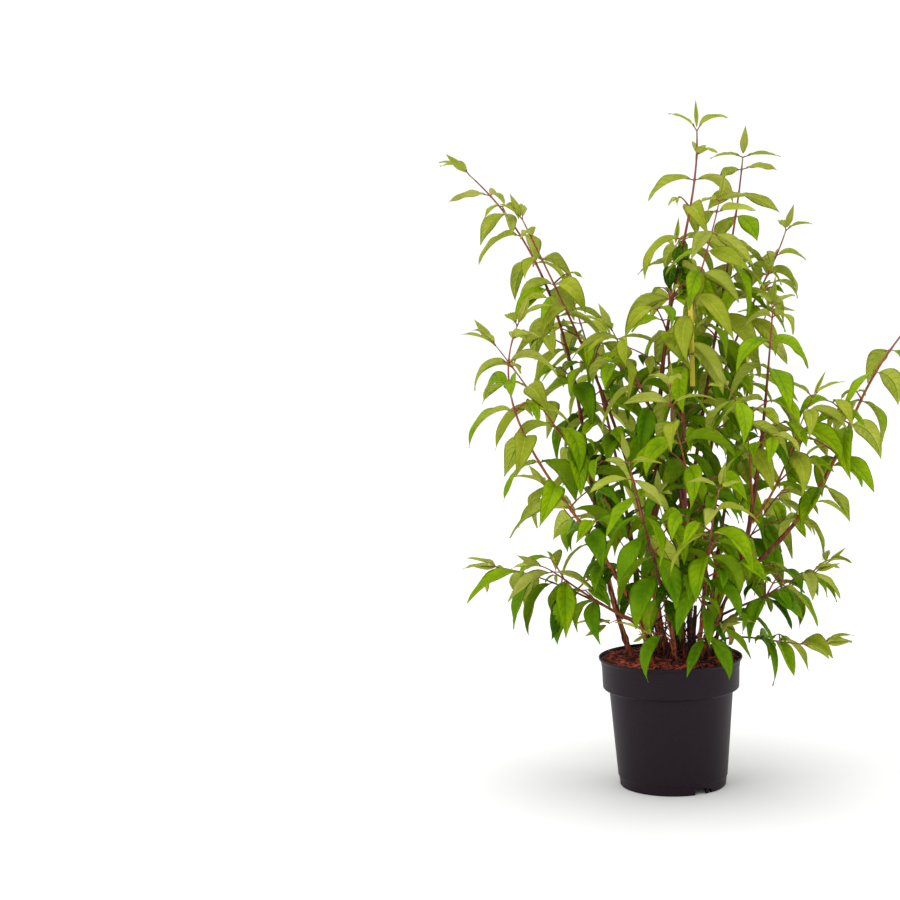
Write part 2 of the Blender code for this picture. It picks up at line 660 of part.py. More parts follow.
def twig_leaves(twig, line, rng):
    """Leaf pairs of a side twig: the end pair forward, the pair behind it square to the twig."""
    leaves = []
    for pair in range(twig.pairs):
        run = line.length * (1.0 - PAIR_STEP * pair) - PAIR_BACK
        size = twig.leaf * (1.0 - PAIR_LOSS * pair)
        splay = SIDE_SPLAY if pair else END_SPLAY
        for side in (1.0, -1.0):
            leaves.append(
                Leaf(
                    line.at(run),
                    twig.heading + side * rng.uniform(*splay),
                    math.radians(rng.uniform(*SMALL_RISE)),
                    math.radians(rng.uniform(*SMALL_FALL)),
                    rng.uniform(-ROLL, ROLL),
                    size * rng.uniform(*LENGTH_SHARE),
                    size * rng.uniform(*WIDTH_SHARE),
                    TWIG_TIP_RADIUS * SINK_SHARE,
                )
            )
    return leaves


def touches(mesh, trees):
    """Whether a mesh comes within the skin of any of the solids."""
    tree = swollen_tree(mesh, SKIN)
    return any(tree.overlap(other) for other in trees)


def under_ground(mesh):
    """Whether a mesh dips into the bark or the pot."""
    for vert in mesh.vertices:
        if vert.co.z < POT_HEIGHT + GROUND_CLEAR:
            if math.hypot(vert.co.x, vert.co.y) < LIP_RADIUS + GROUND_CLEAR:
                return True
    return False


def largest_body(mesh):
    """Keeps the largest connected body of a mesh, and tells whether it is closed."""
    form = bmesh.new()
    form.from_mesh(mesh)
    bmesh.ops.triangulate(form, faces=[f for f in form.faces if len(f.verts) > 3])
    bmesh.ops.remove_doubles(form, verts=form.verts, dist=WELD)
    bmesh.ops.dissolve_degenerate(form, edges=form.edges, dist=WELD)
    left = set(form.verts)
    bodies = []
    while left:
        body, edge = set(), [left.pop()]
        while edge:
            vert = edge.pop()
            body.add(vert)
            for link in vert.link_edges:
                other = link.other_vert(vert)
                if other in left:
                    left.discard(other)
                    edge.append(other)
        bodies.append(body)
    keep = max(bodies, key=len)
    bmesh.ops.delete(form, geom=[v for v in form.verts if v not in keep], context="VERTS")
    bmesh.ops.recalc_face_normals(form, faces=form.faces)
    closed = all(e.is_manifold and e.calc_length() > WELD for e in form.edges)
    closed = closed and all(v.is_manifold for v in form.verts)
    form.to_mesh(mesh)
    form.free()
    return closed


def union(name, stem, pieces, shown, rng):
    """Joins a stem with its twigs and leaves by one Boolean on a collection, and applies it."""
    group = collection(f"{name}_pieces", False)
    for i, piece in enumerate(pieces):
        group.objects.link(bpy.data.objects.new(f"{name}_piece_{i}", piece))
    result = None
    for attempt in range(UNION_TRIES):
        base = add_object(name, stem.copy(), None, shown)
        join = base.modifiers.new("join", "BOOLEAN")
        join.operation = "UNION"
        join.operand_type = "COLLECTION"
        join.collection = group
        join.solver = "EXACT" if attempt % 2 == 0 else "MANIFOLD"
        bpy.context.view_layer.update()
        graph = bpy.context.evaluated_depsgraph_get()
        result = bpy.data.meshes.new_from_object(base.evaluated_get(graph))
        bpy.data.objects.remove(base)
        if largest_body(result):
            break
        print(f"{name}: union {attempt + 1} was not clean")
        for piece in group.objects:
            piece.location += Vector([rng.uniform(-NUDGE, NUDGE) for _ in range(3)])
    for piece in list(group.objects):
        bpy.data.objects.remove(piece)
    bpy.data.collections.remove(group)
    result.name = name
    return result


def outline(curve, corners):
    """Adds a closed outline of (across, up) corners to a flat curve."""
    spline = curve.splines.new("POLY")
    spline.points.add(len(corners) - 1)
    spline.use_cyclic_u = True
    for knot, (across, up) in zip(spline.points, corners):
        knot.co = (across, up, 0.0, 1.0)


def loop_corners(half, apex):
    """Corners of the strap's loop: a round top, straight sides and a pointed foot."""
    top = LOOP_TOP - LOOP_HALF
    arc = []
    for i in range(LOOP_STEPS + 1):
        angle = math.pi * i / LOOP_STEPS
        arc.append((half * math.cos(angle), top + half * math.sin(angle)))
    return arc + [(-half, -LOOP_SIDE)] + apex + [(half, -LOOP_SIDE)]


def build_label(line, shown):
    """Blank strap label: a loop that hangs on a leaning stem, its two strands joined below."""
    run = 0.0
    while line.at(run).z < LABEL_HEIGHT:
        run += CLEAR_STEP
    lean = level(line.way(run)).normalized()
    curve = bpy.data.curves.new("label", "CURVE")
    curve.dimensions = "2D"
    curve.fill_mode = "BOTH"
    curve.extrude = LABEL_WIDTH / 2
    outer = LOOP_HALF + LABEL_THICK
    tail = [
        (-LABEL_THICK, -LOOP_APEX),
        (-LABEL_THICK, -LABEL_TAIL),
        (LABEL_THICK, -LABEL_TAIL),
        (LABEL_THICK, -LOOP_APEX),
    ]
    outline(curve, loop_corners(outer, tail))
    outline(curve, loop_corners(LOOP_HALF, [(0.0, -LOOP_APEX)]))
    holder = bpy.data.objects.new("label", curve)
    mesh = bpy.data.meshes.new_from_object(holder)
    bpy.data.objects.remove(holder)
    bpy.data.curves.remove(curve)
    tidy(mesh)
    label = add_object("label", mesh, "label_yellow", shown)
    up = Vector((0.0, 0.0, 1.0))
    across = up.cross(lean)
    label.matrix_world = Matrix((across, up, lean)).transposed().to_4x4()
    label.location = line.at(run)
    return label


def placed_mesh(thing):
    """Copy of an object's mesh in world space."""
    bpy.context.view_layer.update()
    mesh = thing.data.copy()
    mesh.transform(thing.matrix_world)
    return mesh


def grow_stems(shown, solids):
    """Bare stems as objects, and the courses, stems and first points of the leafy masses."""
    lines, stems, starts = {}, {}, {}
    for shoot in SHOOTS:
        if shoot.parent is None:
            foot = Vector((*shoot.foot, SOIL_TOP + GAP))
        else:
            parent = lines[shoot.parent]
            foot = parent.at(parent.length * shoot.at)
        line = Course(lambda t, s=shoot, f=foot: course(s, f, t))
        lines[shoot.name] = line
        split = line.length * shoot.bare
        start = 0.0
        if shoot.parent and shoot.bare > 0:
            start = clear_start(shoot, line, split, STEM_ROUNDNESS, STEM_STEP, solids.values())
        elif shoot.parent:
            start = clear_start(shoot, line, line.length, SHOOT_ROUNDNESS, STEM_STEP, solids.values())
        if shoot.bare > 0:
            name = f"{shoot.name}_stem"
            mesh = stem_mesh(name, shoot, line, start, split, STEM_ROUNDNESS, STEM_STEP)
            smooth(add_object(name, mesh, "stem_bark", shown), 50.0)
            solids[name] = tree_of(mesh)
            start = split + GAP
        if shoot.bare < 1:
            name = f"{shoot.name}_leaves"
            mesh = stem_mesh(name, shoot, line, start, line.length, SHOOT_ROUNDNESS, STEM_STEP)
            stems[name] = mesh
            solids[name] = tree_of(mesh)
            starts[name] = start
    return lines, stems, starts


def leafy_pieces(leaves, twigs, others, rng):
    """Meshes of the twigs and leaves that stay clear of other nodes, the ground and each other."""
    pieces, blades = [], []
    for twig in twigs:
        way = twig_line(twig)
        runs = (0.0, way.length / 2, way.length)
        radii = (TWIG_ROOT_RADIUS, TWIG_ROOT_RADIUS, TWIG_TIP_RADIUS)
        mesh = tube_mesh("twig", [way.at(r) for r in runs], radii, TWIG_ROUNDNESS)
        small = twig_leaves(twig, way, rng)
        if touches(mesh, others) or under_ground(mesh):
            continue
        pieces.append(mesh)
        leaves.extend(small)
    for leaf in leaves:
        for turn in TURNS:
            mesh = leaf_mesh(leaf, turn)
            blade = leaf_mesh(leaf, turn, STALK_SHARE)
            if not (under_ground(mesh) or touches(mesh, others) or touches(blade, blades)):
                pieces.append(mesh)
                blades.append(tree_of(blade))
                break
    return pieces


def main():
    """Builds the shrub."""
    for old in list(bpy.data.objects):
        bpy.data.objects.remove(old, do_unlink=True)
    shown = collection("deutzia_shrub")
    cutters = collection("cutters", False)
    build_pot(shown, cutters)
    build_soil(shown)
    solids = {}
    lines, stems, starts = grow_stems(shown, solids)
    solids["label"] = tree_of(placed_mesh(build_label(lines[LABEL_SHOOT], shown)))
    names = list(solids)
    for i, a in enumerate(names):
        for b in names[i + 1:]:
            if solids[a].overlap(solids[b]):
                print(f"{a} crosses {b}")
    grown = 0
    for shoot in SHOOTS:
        name = f"{shoot.name}_leaves"
        if name not in stems:
            continue
        rng = random.Random(shoot.seed)
        leaves, twigs = grow(shoot, lines[shoot.name], starts[name], rng)
        others = [tree for n, tree in solids.items() if n != name]
        pieces = leafy_pieces(leaves, twigs, others, rng)
        solid = union(name, stems[name], pieces, shown, rng)
        add_object(name, solid, "leaf_green", shown)
        solids[name] = tree_of(solid)
        grown += len(pieces)
    faces = sum(len(p.vertices) - 2 for thing in shown.objects for p in thing.data.polygons)
    print(f"{grown} leaves and twigs, {faces} triangles, {len(shown.objects)} objects")


main()
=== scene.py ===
"""Dresses a deutzia shrub in its nursery pot: potting bark, barked stems, toothed leaves, a blank label.

Metres, +Z up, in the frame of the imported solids. Every shoot grows again by the seeded rule that made its
solid. A leaf stands where its solid leaf stands, and leaves and sprouts that the solids leave out follow
within the same reach.
"""

import json
import logging
import math
import random
from collections.abc import Sequence
from dataclasses import dataclass, field, replace
from enum import Enum

import bpy
import numpy as np
from mathutils import Matrix, Vector
from mathutils.bvhtree import BVHTree
from mathutils.kdtree import KDTree

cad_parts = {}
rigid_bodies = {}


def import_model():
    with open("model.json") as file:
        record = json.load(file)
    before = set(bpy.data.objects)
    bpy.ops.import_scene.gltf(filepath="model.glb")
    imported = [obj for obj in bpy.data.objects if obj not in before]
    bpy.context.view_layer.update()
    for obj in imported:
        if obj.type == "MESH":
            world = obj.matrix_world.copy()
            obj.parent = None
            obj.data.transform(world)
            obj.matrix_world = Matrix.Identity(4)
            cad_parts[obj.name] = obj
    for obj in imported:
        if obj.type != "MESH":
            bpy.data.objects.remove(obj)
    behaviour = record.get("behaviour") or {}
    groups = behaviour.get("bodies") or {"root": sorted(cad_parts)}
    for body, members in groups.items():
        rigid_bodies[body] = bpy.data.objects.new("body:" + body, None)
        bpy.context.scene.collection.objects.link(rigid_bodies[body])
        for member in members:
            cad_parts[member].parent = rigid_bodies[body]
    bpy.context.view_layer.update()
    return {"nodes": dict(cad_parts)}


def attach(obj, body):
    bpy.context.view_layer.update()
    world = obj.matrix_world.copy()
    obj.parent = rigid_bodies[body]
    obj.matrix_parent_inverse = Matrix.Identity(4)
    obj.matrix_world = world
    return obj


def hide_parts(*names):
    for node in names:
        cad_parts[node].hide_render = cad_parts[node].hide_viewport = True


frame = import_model()

LOG = logging.getLogger("shrub")
BODY = "root"
UP = Vector((0.0, 0.0, 1.0))
# Space between a bare stem's solid and what it stands on or carries
GAP = 0.0003
# Most of a profile's side that one rounded corner may take
CORNER_SHARE = 0.45

Pair = tuple[float, float]
Triple = tuple[float, float, float]
Colour = Triple


def paint(red: int, green: int, blue: int) -> Colour:
    """Linear colour of a display colour.

    Args:
        red: Red, 0 to 255.
        green: Green, 0 to 255.
        blue: Blue, 0 to 255.

    Returns:
        The linear colour that a shader takes.
    """
    shares = (c / 255.0 for c in (red, green, blue))
    return tuple(s / 12.92 if s < 0.04045 else ((s + 0.055) / 1.055) ** 2.4 for s in shares)


class Tone(Enum):
    """Greens of a leaf's upper face: painted shade for the shaded heart of the crown, painted light out to
    its open top.
    """

    DEEP = "deep"
    MID = "mid"
    LIT_GREEN = "fresh"
    OLIVE = "olive"
    YOUNG = "young"


class Bark(Enum):
    """Ages of bark, from the old stems at the foot to the green tips; the old bark also carries painted
    shade.
    """

    OLD = "old"
    BROWN = "brown"
    TAN = "tan"
    RED = "red"
    GREEN = "green"


def feed(links: bpy.types.NodeLinks, node: bpy.types.Node, inputs: dict[str, object]) -> None:
    """Sets inputs of a shader node.

    Args:
        links: Links of the node's tree.
        node: The node.
        inputs: A value for each input, or the output of another node that drives it.
    """
    for name, source in inputs.items():
        if isinstance(source, bpy.types.NodeSocket):
            links.new(source, node.inputs[name])
        else:
            node.inputs[name].default_value = source


@dataclass(frozen=True)
class Finish:
    """A procedural finish: two colours mixed by noise, which also steers roughness and bump."""

    name: str
    pale: Colour
    dark: Colour
    grain: float = 60.0
    stretch: Triple = (1.0, 1.0, 1.0)
    edge: Pair = (0.35, 0.65)
    rough: Pair = (0.45, 0.6)
    bump: float = 0.0
    relief: float = 0.0004
    specular: float = 0.5
    detail: float = 5.0
    ragged: float = 0.6

    def material(self) -> bpy.types.Material:
        """Material of this finish, made once."""
        found = bpy.data.materials.get(self.name)
        if found:
            return found
        made = bpy.data.materials.new(self.name)
        made.use_nodes = True
        made.diffuse_color = (*self.pale, 1.0)
        nodes, links = made.node_tree.nodes, made.node_tree.links
        place = nodes.new("ShaderNodeTexCoord")
        stretch = nodes.new("ShaderNodeMapping")
        feed(links, stretch, {"Vector": place.outputs["Object"], "Scale": self.stretch})
        noise = nodes.new("ShaderNodeTexNoise")
        size = {"Scale": self.grain, "Detail": self.detail, "Roughness": self.ragged}
        feed(links, noise, {"Vector": stretch.outputs["Vector"], **size})
        grain = noise.outputs["Fac"]
        spread = nodes.new("ShaderNodeMapRange")
        feed(links, spread, {"Value": grain, "From Min": self.edge[0], "From Max": self.edge[1]})
        mix = nodes.new("ShaderNodeMix")
        mix.data_type = "RGBA"
        feed(links, mix, {"Factor": spread.outputs["Result"], "A": (*self.dark, 1.0), "B": (*self.pale, 1.0)})
        rough = nodes.new("ShaderNodeMapRange")
        feed(links, rough, {"Value": grain, "To Min": self.rough[0], "To Max": self.rough[1]})
        shader = nodes["Principled BSDF"]
        feed(links, shader, {"Base Color": mix.outputs["Result"], "Roughness": rough.outputs["Result"]})
        feed(links, shader, {"Specular IOR Level": self.specular})
        if self.bump > 0.0:
            bump = nodes.new("ShaderNodeBump")
            feed(links, bump, {"Height": grain, "Strength": self.bump, "Distance": self.relief})
            feed(links, shader, {"Normal": bump.outputs["Normal"]})
        return made


def leaf_finish(name: str, pale: Colour, dark: Colour, rough: Pair) -> Finish:
    """Finish of a leaf's face, mottled from one leaf to the next and faintly within it."""
    return Finish(
        name, pale, dark, grain=26.0, rough=rough, bump=0.25, relief=0.0003, specular=0.06, detail=7.0
    )


def bark_finish(name: str, pale: Colour, dark: Colour, bump: float) -> Finish:
    """Finish of a stem, streaked along its length."""
    return Finish(
        name, pale, dark, grain=520.0, stretch=(1.0, 1.0, 0.07), edge=(0.4, 0.6), rough=(0.5, 0.8), bump=bump,
        specular=0.2,
    )


def chip_finish(name: str, pale: Colour, dark: Colour) -> Finish:
    """Finish of a dry, rough chip of bark."""
    return Finish(name, pale, dark, grain=300.0, rough=(0.75, 0.95), bump=0.8)


# Roughness of a leaf's face, from its smoothest to its roughest spots
SHINY, SATIN, MATT = (0.42, 0.58), (0.45, 0.6), (0.6, 0.75)
# Deep, mid and bright upper faces are one leaf green in shaded and lit copies: painted shade and painted
# light by how open a leaf stands
UPPER = {
    Tone.DEEP: leaf_finish("leaf_deep", paint(66, 104, 0), paint(36, 70, 0), SHINY),
    Tone.MID: leaf_finish("leaf_mid", paint(108, 146, 0), paint(76, 120, 0), SHINY),
    Tone.LIT_GREEN: leaf_finish("leaf_lit", paint(138, 168, 0), paint(108, 144, 0), SHINY),
    Tone.OLIVE: leaf_finish("leaf_olive", paint(156, 164, 44), paint(134, 148, 30), SATIN),
    Tone.YOUNG: leaf_finish("leaf_young", paint(162, 166, 72), paint(142, 150, 54), SATIN),
}
# Under faces and veins come in a painted-shade copy for the deep and mid greens and a pale copy for the
# others
UNDER_DEEP = leaf_finish("under_deep", paint(124, 152, 14), paint(98, 128, 6), MATT)
UNDER_PALE = leaf_finish("under_pale", paint(184, 192, 76), paint(162, 175, 56), MATT)
RIB_DEEP = leaf_finish("rib_deep", paint(114, 144, 24), paint(86, 118, 12), (0.5, 0.65))
RIB_PALE = leaf_finish("rib_pale", paint(176, 190, 70), paint(152, 170, 48), (0.5, 0.65))
LEAF_FINISHES = [*UPPER.values(), UNDER_DEEP, UNDER_PALE, RIB_DEEP, RIB_PALE]
FALLEN = leaf_finish("leaf_fallen", paint(112, 118, 78), paint(78, 84, 54), MATT)
WITHERED = leaf_finish("leaf_withered", paint(206, 186, 120), paint(162, 128, 70), (0.7, 0.85))
BARKS = {
    # Old bark is its own red-brown, made darker still by painted shade of the crown over the stem feet
    Bark.OLD: bark_finish("bark_old", paint(166, 82, 48), paint(40, 18, 15), 0.9),
    Bark.BROWN: bark_finish("bark_brown", paint(136, 72, 50), paint(80, 40, 32), 0.6),
    Bark.TAN: bark_finish("bark_tan", paint(172, 104, 56), paint(126, 68, 38), 0.4),
    Bark.RED: bark_finish("bark_red", paint(166, 90, 78), paint(126, 60, 56), 0.3),
    Bark.GREEN: bark_finish("bark_green", paint(150, 150, 78), paint(120, 112, 60), 0.2),
}
PEEL = bark_finish("bark_peel", paint(196, 138, 86), paint(140, 84, 48), 0.5)
DEAD = bark_finish("twig_dead", paint(66, 42, 36), paint(28, 16, 16), 0.6)
CHIPS = (
    chip_finish("chip_russet", paint(176, 66, 44), paint(104, 34, 25)),
    chip_finish("chip_dark", paint(92, 38, 30), paint(42, 17, 15)),
    chip_finish("chip_orange", paint(216, 98, 64), paint(150, 58, 38)),
)
PLASTIC = Finish(
    "pot_black", paint(30, 16, 27), paint(22, 11, 20), grain=420.0, rough=(0.42, 0.56), bump=0.16,
    relief=0.0002, specular=0.16,
)
YELLOW = Finish(
    "label_yellow", paint(255, 236, 60), paint(248, 222, 40), grain=160.0, rough=(0.4, 0.5), bump=0.1,
    relief=0.0002,
)
FLOOR = Finish(
    "studio_floor", (0.87, 0.87, 0.87), (0.86, 0.86, 0.86), grain=2.0, rough=(0.85, 0.95), specular=0.0
)


def leaf_slots(tone: Tone) -> tuple[int, int, int]:
    """Finish numbers of a leaf's upper face, lower face and veins."""
    pale = tone in (Tone.OLIVE, Tone.YOUNG)
    # The under face and vein take the painted shade of the upper green
    under = UNDER_PALE if pale or tone is Tone.LIT_GREEN else UNDER_DEEP
    rib = RIB_PALE if pale else RIB_DEEP
    return tuple(LEAF_FINISHES.index(finish) for finish in (UPPER[tone], under, rib))


class Buffer:
    """Points, faces and finish numbers gathered for one mesh."""

    def __init__(self) -> None:
        """Starts empty."""
        self.points: list[np.ndarray] = []
        self.faces: list[np.ndarray] = []
        self.slots: list[np.ndarray] = []
        self.count = 0

    def add(self, points: np.ndarray, faces: Sequence[tuple[np.ndarray, np.ndarray | int]]) -> None:
        """Adds points and the faces on them.

        Args:
            points: Points, one row each.
            faces: Pairs of a face array, which counts from the first of these points, and its finish numbers.
        """
        for numbers, slots in faces:
            self.faces.append(numbers + self.count)
            self.slots.append(np.broadcast_to(slots, len(numbers)))
        self.points.append(points)
        self.count += len(points)

    def mesh(self, name: str) -> bpy.types.Mesh:
        """Mesh of all that was added."""
        points = np.concatenate(self.points)
        loops = np.concatenate([f.ravel() for f in self.faces])
        sizes = np.concatenate([np.full(len(f), f.shape[1]) for f in self.faces])
        made = bpy.data.meshes.new(name)
        made.vertices.add(len(points))
        made.vertices.foreach_set("co", points.astype(np.float32).ravel())
        made.loops.add(len(loops))
        made.loops.foreach_set("vertex_index", loops.astype(np.int32))
        made.polygons.add(len(sizes))
        made.polygons.foreach_set("loop_start", (np.cumsum(sizes) - sizes).astype(np.int32))
        made.polygons.foreach_set("material_index", np.concatenate(self.slots).astype(np.int32))
        made.update(calc_edges=True)
        made.validate()
        return made

    def piece(self, name: str, finishes: Sequence[Finish], sharp: float | None = None) -> bpy.types.Object:
        """Makes the scene's object.

        Args:
            name: Name of the piece.
            finishes: Finishes in the order of the finish numbers.
            sharp: Angle in degrees above which an edge stays sharp, or None for smooth shading all over.

        Returns:
            The linked object.
        """
        mesh = self.mesh(name)
        for finish in finishes:
            mesh.materials.append(finish.material())
        mesh.shade_smooth()
        if sharp is not None:
            mesh.set_sharp_from_angle(angle=math.radians(sharp))
        made = bpy.data.objects.new(name, mesh)
        bpy.context.scene.collection.objects.link(made)
        return made


def settle(piece: bpy.types.Object, slot: str, *nodes: str) -> bpy.types.Object:
    """Lets a piece ride, hides the nodes that it stands for, and reports it."""
    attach(piece, BODY)
    if nodes:
        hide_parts(*nodes)
    LOG.info("%s: %d faces", piece.name, len(piece.data.polygons))
    return piece


def polar(reach: float, bearing: float, height: float = 0.0) -> Vector:
    """Point at a distance and a bearing from the vertical axis."""
    return Vector((reach * math.cos(bearing), reach * math.sin(bearing), height))


def grid_faces(rows: int, columns: int, closed: bool = False) -> np.ndarray:
    """Quads of a grid of points.

    Args:
        rows: Rows of points.
        columns: Points in a row.
        closed: Whether each row runs round and meets itself.

    Returns:
        One row of four point numbers for each quad.
    """
    across = columns if closed else columns - 1
    i, j = np.meshgrid(np.arange(rows - 1), np.arange(across), indexing="ij")
    here, beside = i * columns + j, i * columns + (j + 1) % columns
    return np.stack([here, here + columns, beside + columns, beside], -1).reshape(-1, 4)


def ringed(buffer: Buffer, rings: np.ndarray, ends: np.ndarray, slots: np.ndarray | int) -> None:
    """Adds a closed body of rings of points.

    Args:
        buffer: Where the body goes.
        rings: Points of each ring.
        ends: The points that close the first ring and the last.
        slots: Finish number, or one for each stretch between two rings.
    """
    count, sides = rings.shape[:2]
    ring = np.arange(sides)
    after = (ring + 1) % sides
    last, end = (count - 1) * sides, count * sides
    kinds = np.broadcast_to(slots, count - 1)
    buffer.add(
        np.concatenate([rings.reshape(-1, 3), ends]),
        [
            (grid_faces(count, sides, closed=True)[:, ::-1], np.repeat(kinds, sides)),
            (np.stack([np.full(sides, end), ring, after], -1)[:, ::-1], kinds[0]),
            (np.stack([np.full(sides, end + 1), last + after, last + ring], -1)[:, ::-1], kinds[-1]),
        ],
    )


def tube(
    buffer: Buffer, path: np.ndarray, radii: np.ndarray, sides: int, slots: np.ndarray | int,
    relief: np.ndarray | None = None, flat: float = 1.0,
) -> None:
    """Adds a closed tube along a path.

    Args:
        buffer: Where the tube goes.
        path: Points along its axis.
        radii: Radius at each point.
        sides: Points round it.
        slots: Finish number, or one for each stretch between two points.
        relief: Factor on the radius of each point round each ring.
        flat: Height of the section as a share of its width.
    """
    ways = np.gradient(path, axis=0)
    ways /= np.linalg.norm(ways, axis=1)[:, None]
    guide = np.eye(3)[np.abs(ways.mean(0)).argmin()]
    aside = np.cross(ways, guide)
    aside /= np.linalg.norm(aside, axis=1)[:, None]
    above = np.cross(aside, ways)
    turn = np.arange(sides) * (2 * math.pi / sides)
    reach = np.broadcast_to(radii[:, None], (len(path), sides))
    if relief is not None:
        reach = reach * relief
    rings = (
        path[:, None]
        + aside[:, None] * (np.cos(turn)[None] * reach)[..., None]
        + above[:, None] * (np.sin(turn)[None] * reach * flat)[..., None]
    )
    ringed(buffer, rings, path[[0, -1]], slots)


def lathe(buffer: Buffer, profile: Sequence[Pair], steps: int, slot: int = 0) -> None:
    """Adds a closed turned body.

    Args:
        buffer: Where the body goes.
        profile: Radius and height of each ring between the axis at one end and the axis at the other.
        steps: Points round a ring.
        slot: Finish number.
    """
    turn = np.arange(steps) * (2 * math.pi / steps)
    rings = [np.stack([r * np.cos(turn), r * np.sin(turn), np.full(steps, z)], -1) for r, z in profile]
    ends = np.array([[0.0, 0.0, profile[0][1]], [0.0, 0.0, profile[-1][1]]])
    ringed(buffer, np.array(rings), ends, slot)


def rounded(profile: Sequence[Pair], radius: float, steps: int = 4) -> list[Pair]:
    """Rounds the corners of a profile.

    Args:
        profile: Corners as radius and height.
        radius: Most that a corner is cut back along each of its sides.
        steps: Stretches of each rounded corner.

    Returns:
        The profile with an arc in place of each inner corner.
    """
    sharp = [Vector(p) for p in profile]
    out = [sharp[0]]
    for before, corner, after in zip(sharp, sharp[1:], sharp[2:]):
        back, ahead = before - corner, after - corner
        cut = min(radius, back.length * CORNER_SHARE, ahead.length * CORNER_SHARE)
        start, end = corner + back.normalized() * cut, corner + ahead.normalized() * cut
        for k in range(steps + 1):
            t = k / steps
            out.append(start.lerp(corner, t).lerp(corner.lerp(end, t), t))
    out.append(sharp[-1])
    return [(p.x, p.y) for p in out]


@dataclass(frozen=True)
class Shoot:
    """One shoot: where it springs from, its course and what it carries.

    Attributes:
        name: Start of the names of its nodes.
        parent: Shoot that it springs from, or None where it rises from the potting bark.
        at: Share of the parent's length where it springs.
        foot: Place of its foot on the potting bark.
        lean: Pull on its course from the foot.
        tip: End of its course.
        nod: Pull on its course into the tip.
        sway: Sideways shift, one way in its lower half and the other way in its upper half.
        thick: Radius at the foot.
        bare: Share of its length that carries no leaves.
        first: Length from there to the first leaf pair.
        gap: Length between leaf pairs.
        leaf: Length of its larger leaves.
        twigs: Most side twigs that it carries.
        hang: Degrees by which its leaves hang lower than the rule has them.
        seed: Seed of its draws.
    """

    name: str
    parent: str | None
    at: float
    foot: Pair | None
    lean: Triple
    tip: Triple
    nod: Triple
    sway: float
    thick: float
    bare: float
    first: float
    gap: float
    leaf: float
    twigs: int
    hang: float
    seed: int


@dataclass(frozen=True)
class Leaf:
    """A leaf's place, heading, arch and size."""

    root: Vector
    heading: float
    rise: float
    fall: float
    roll: float
    length: float
    width: float
    sink: float = 0.0


@dataclass(frozen=True)
class Twig:
    """A side twig's place, heading and size."""

    root: Vector
    heading: float
    rise: float
    length: float
    pairs: int
    leaf: float


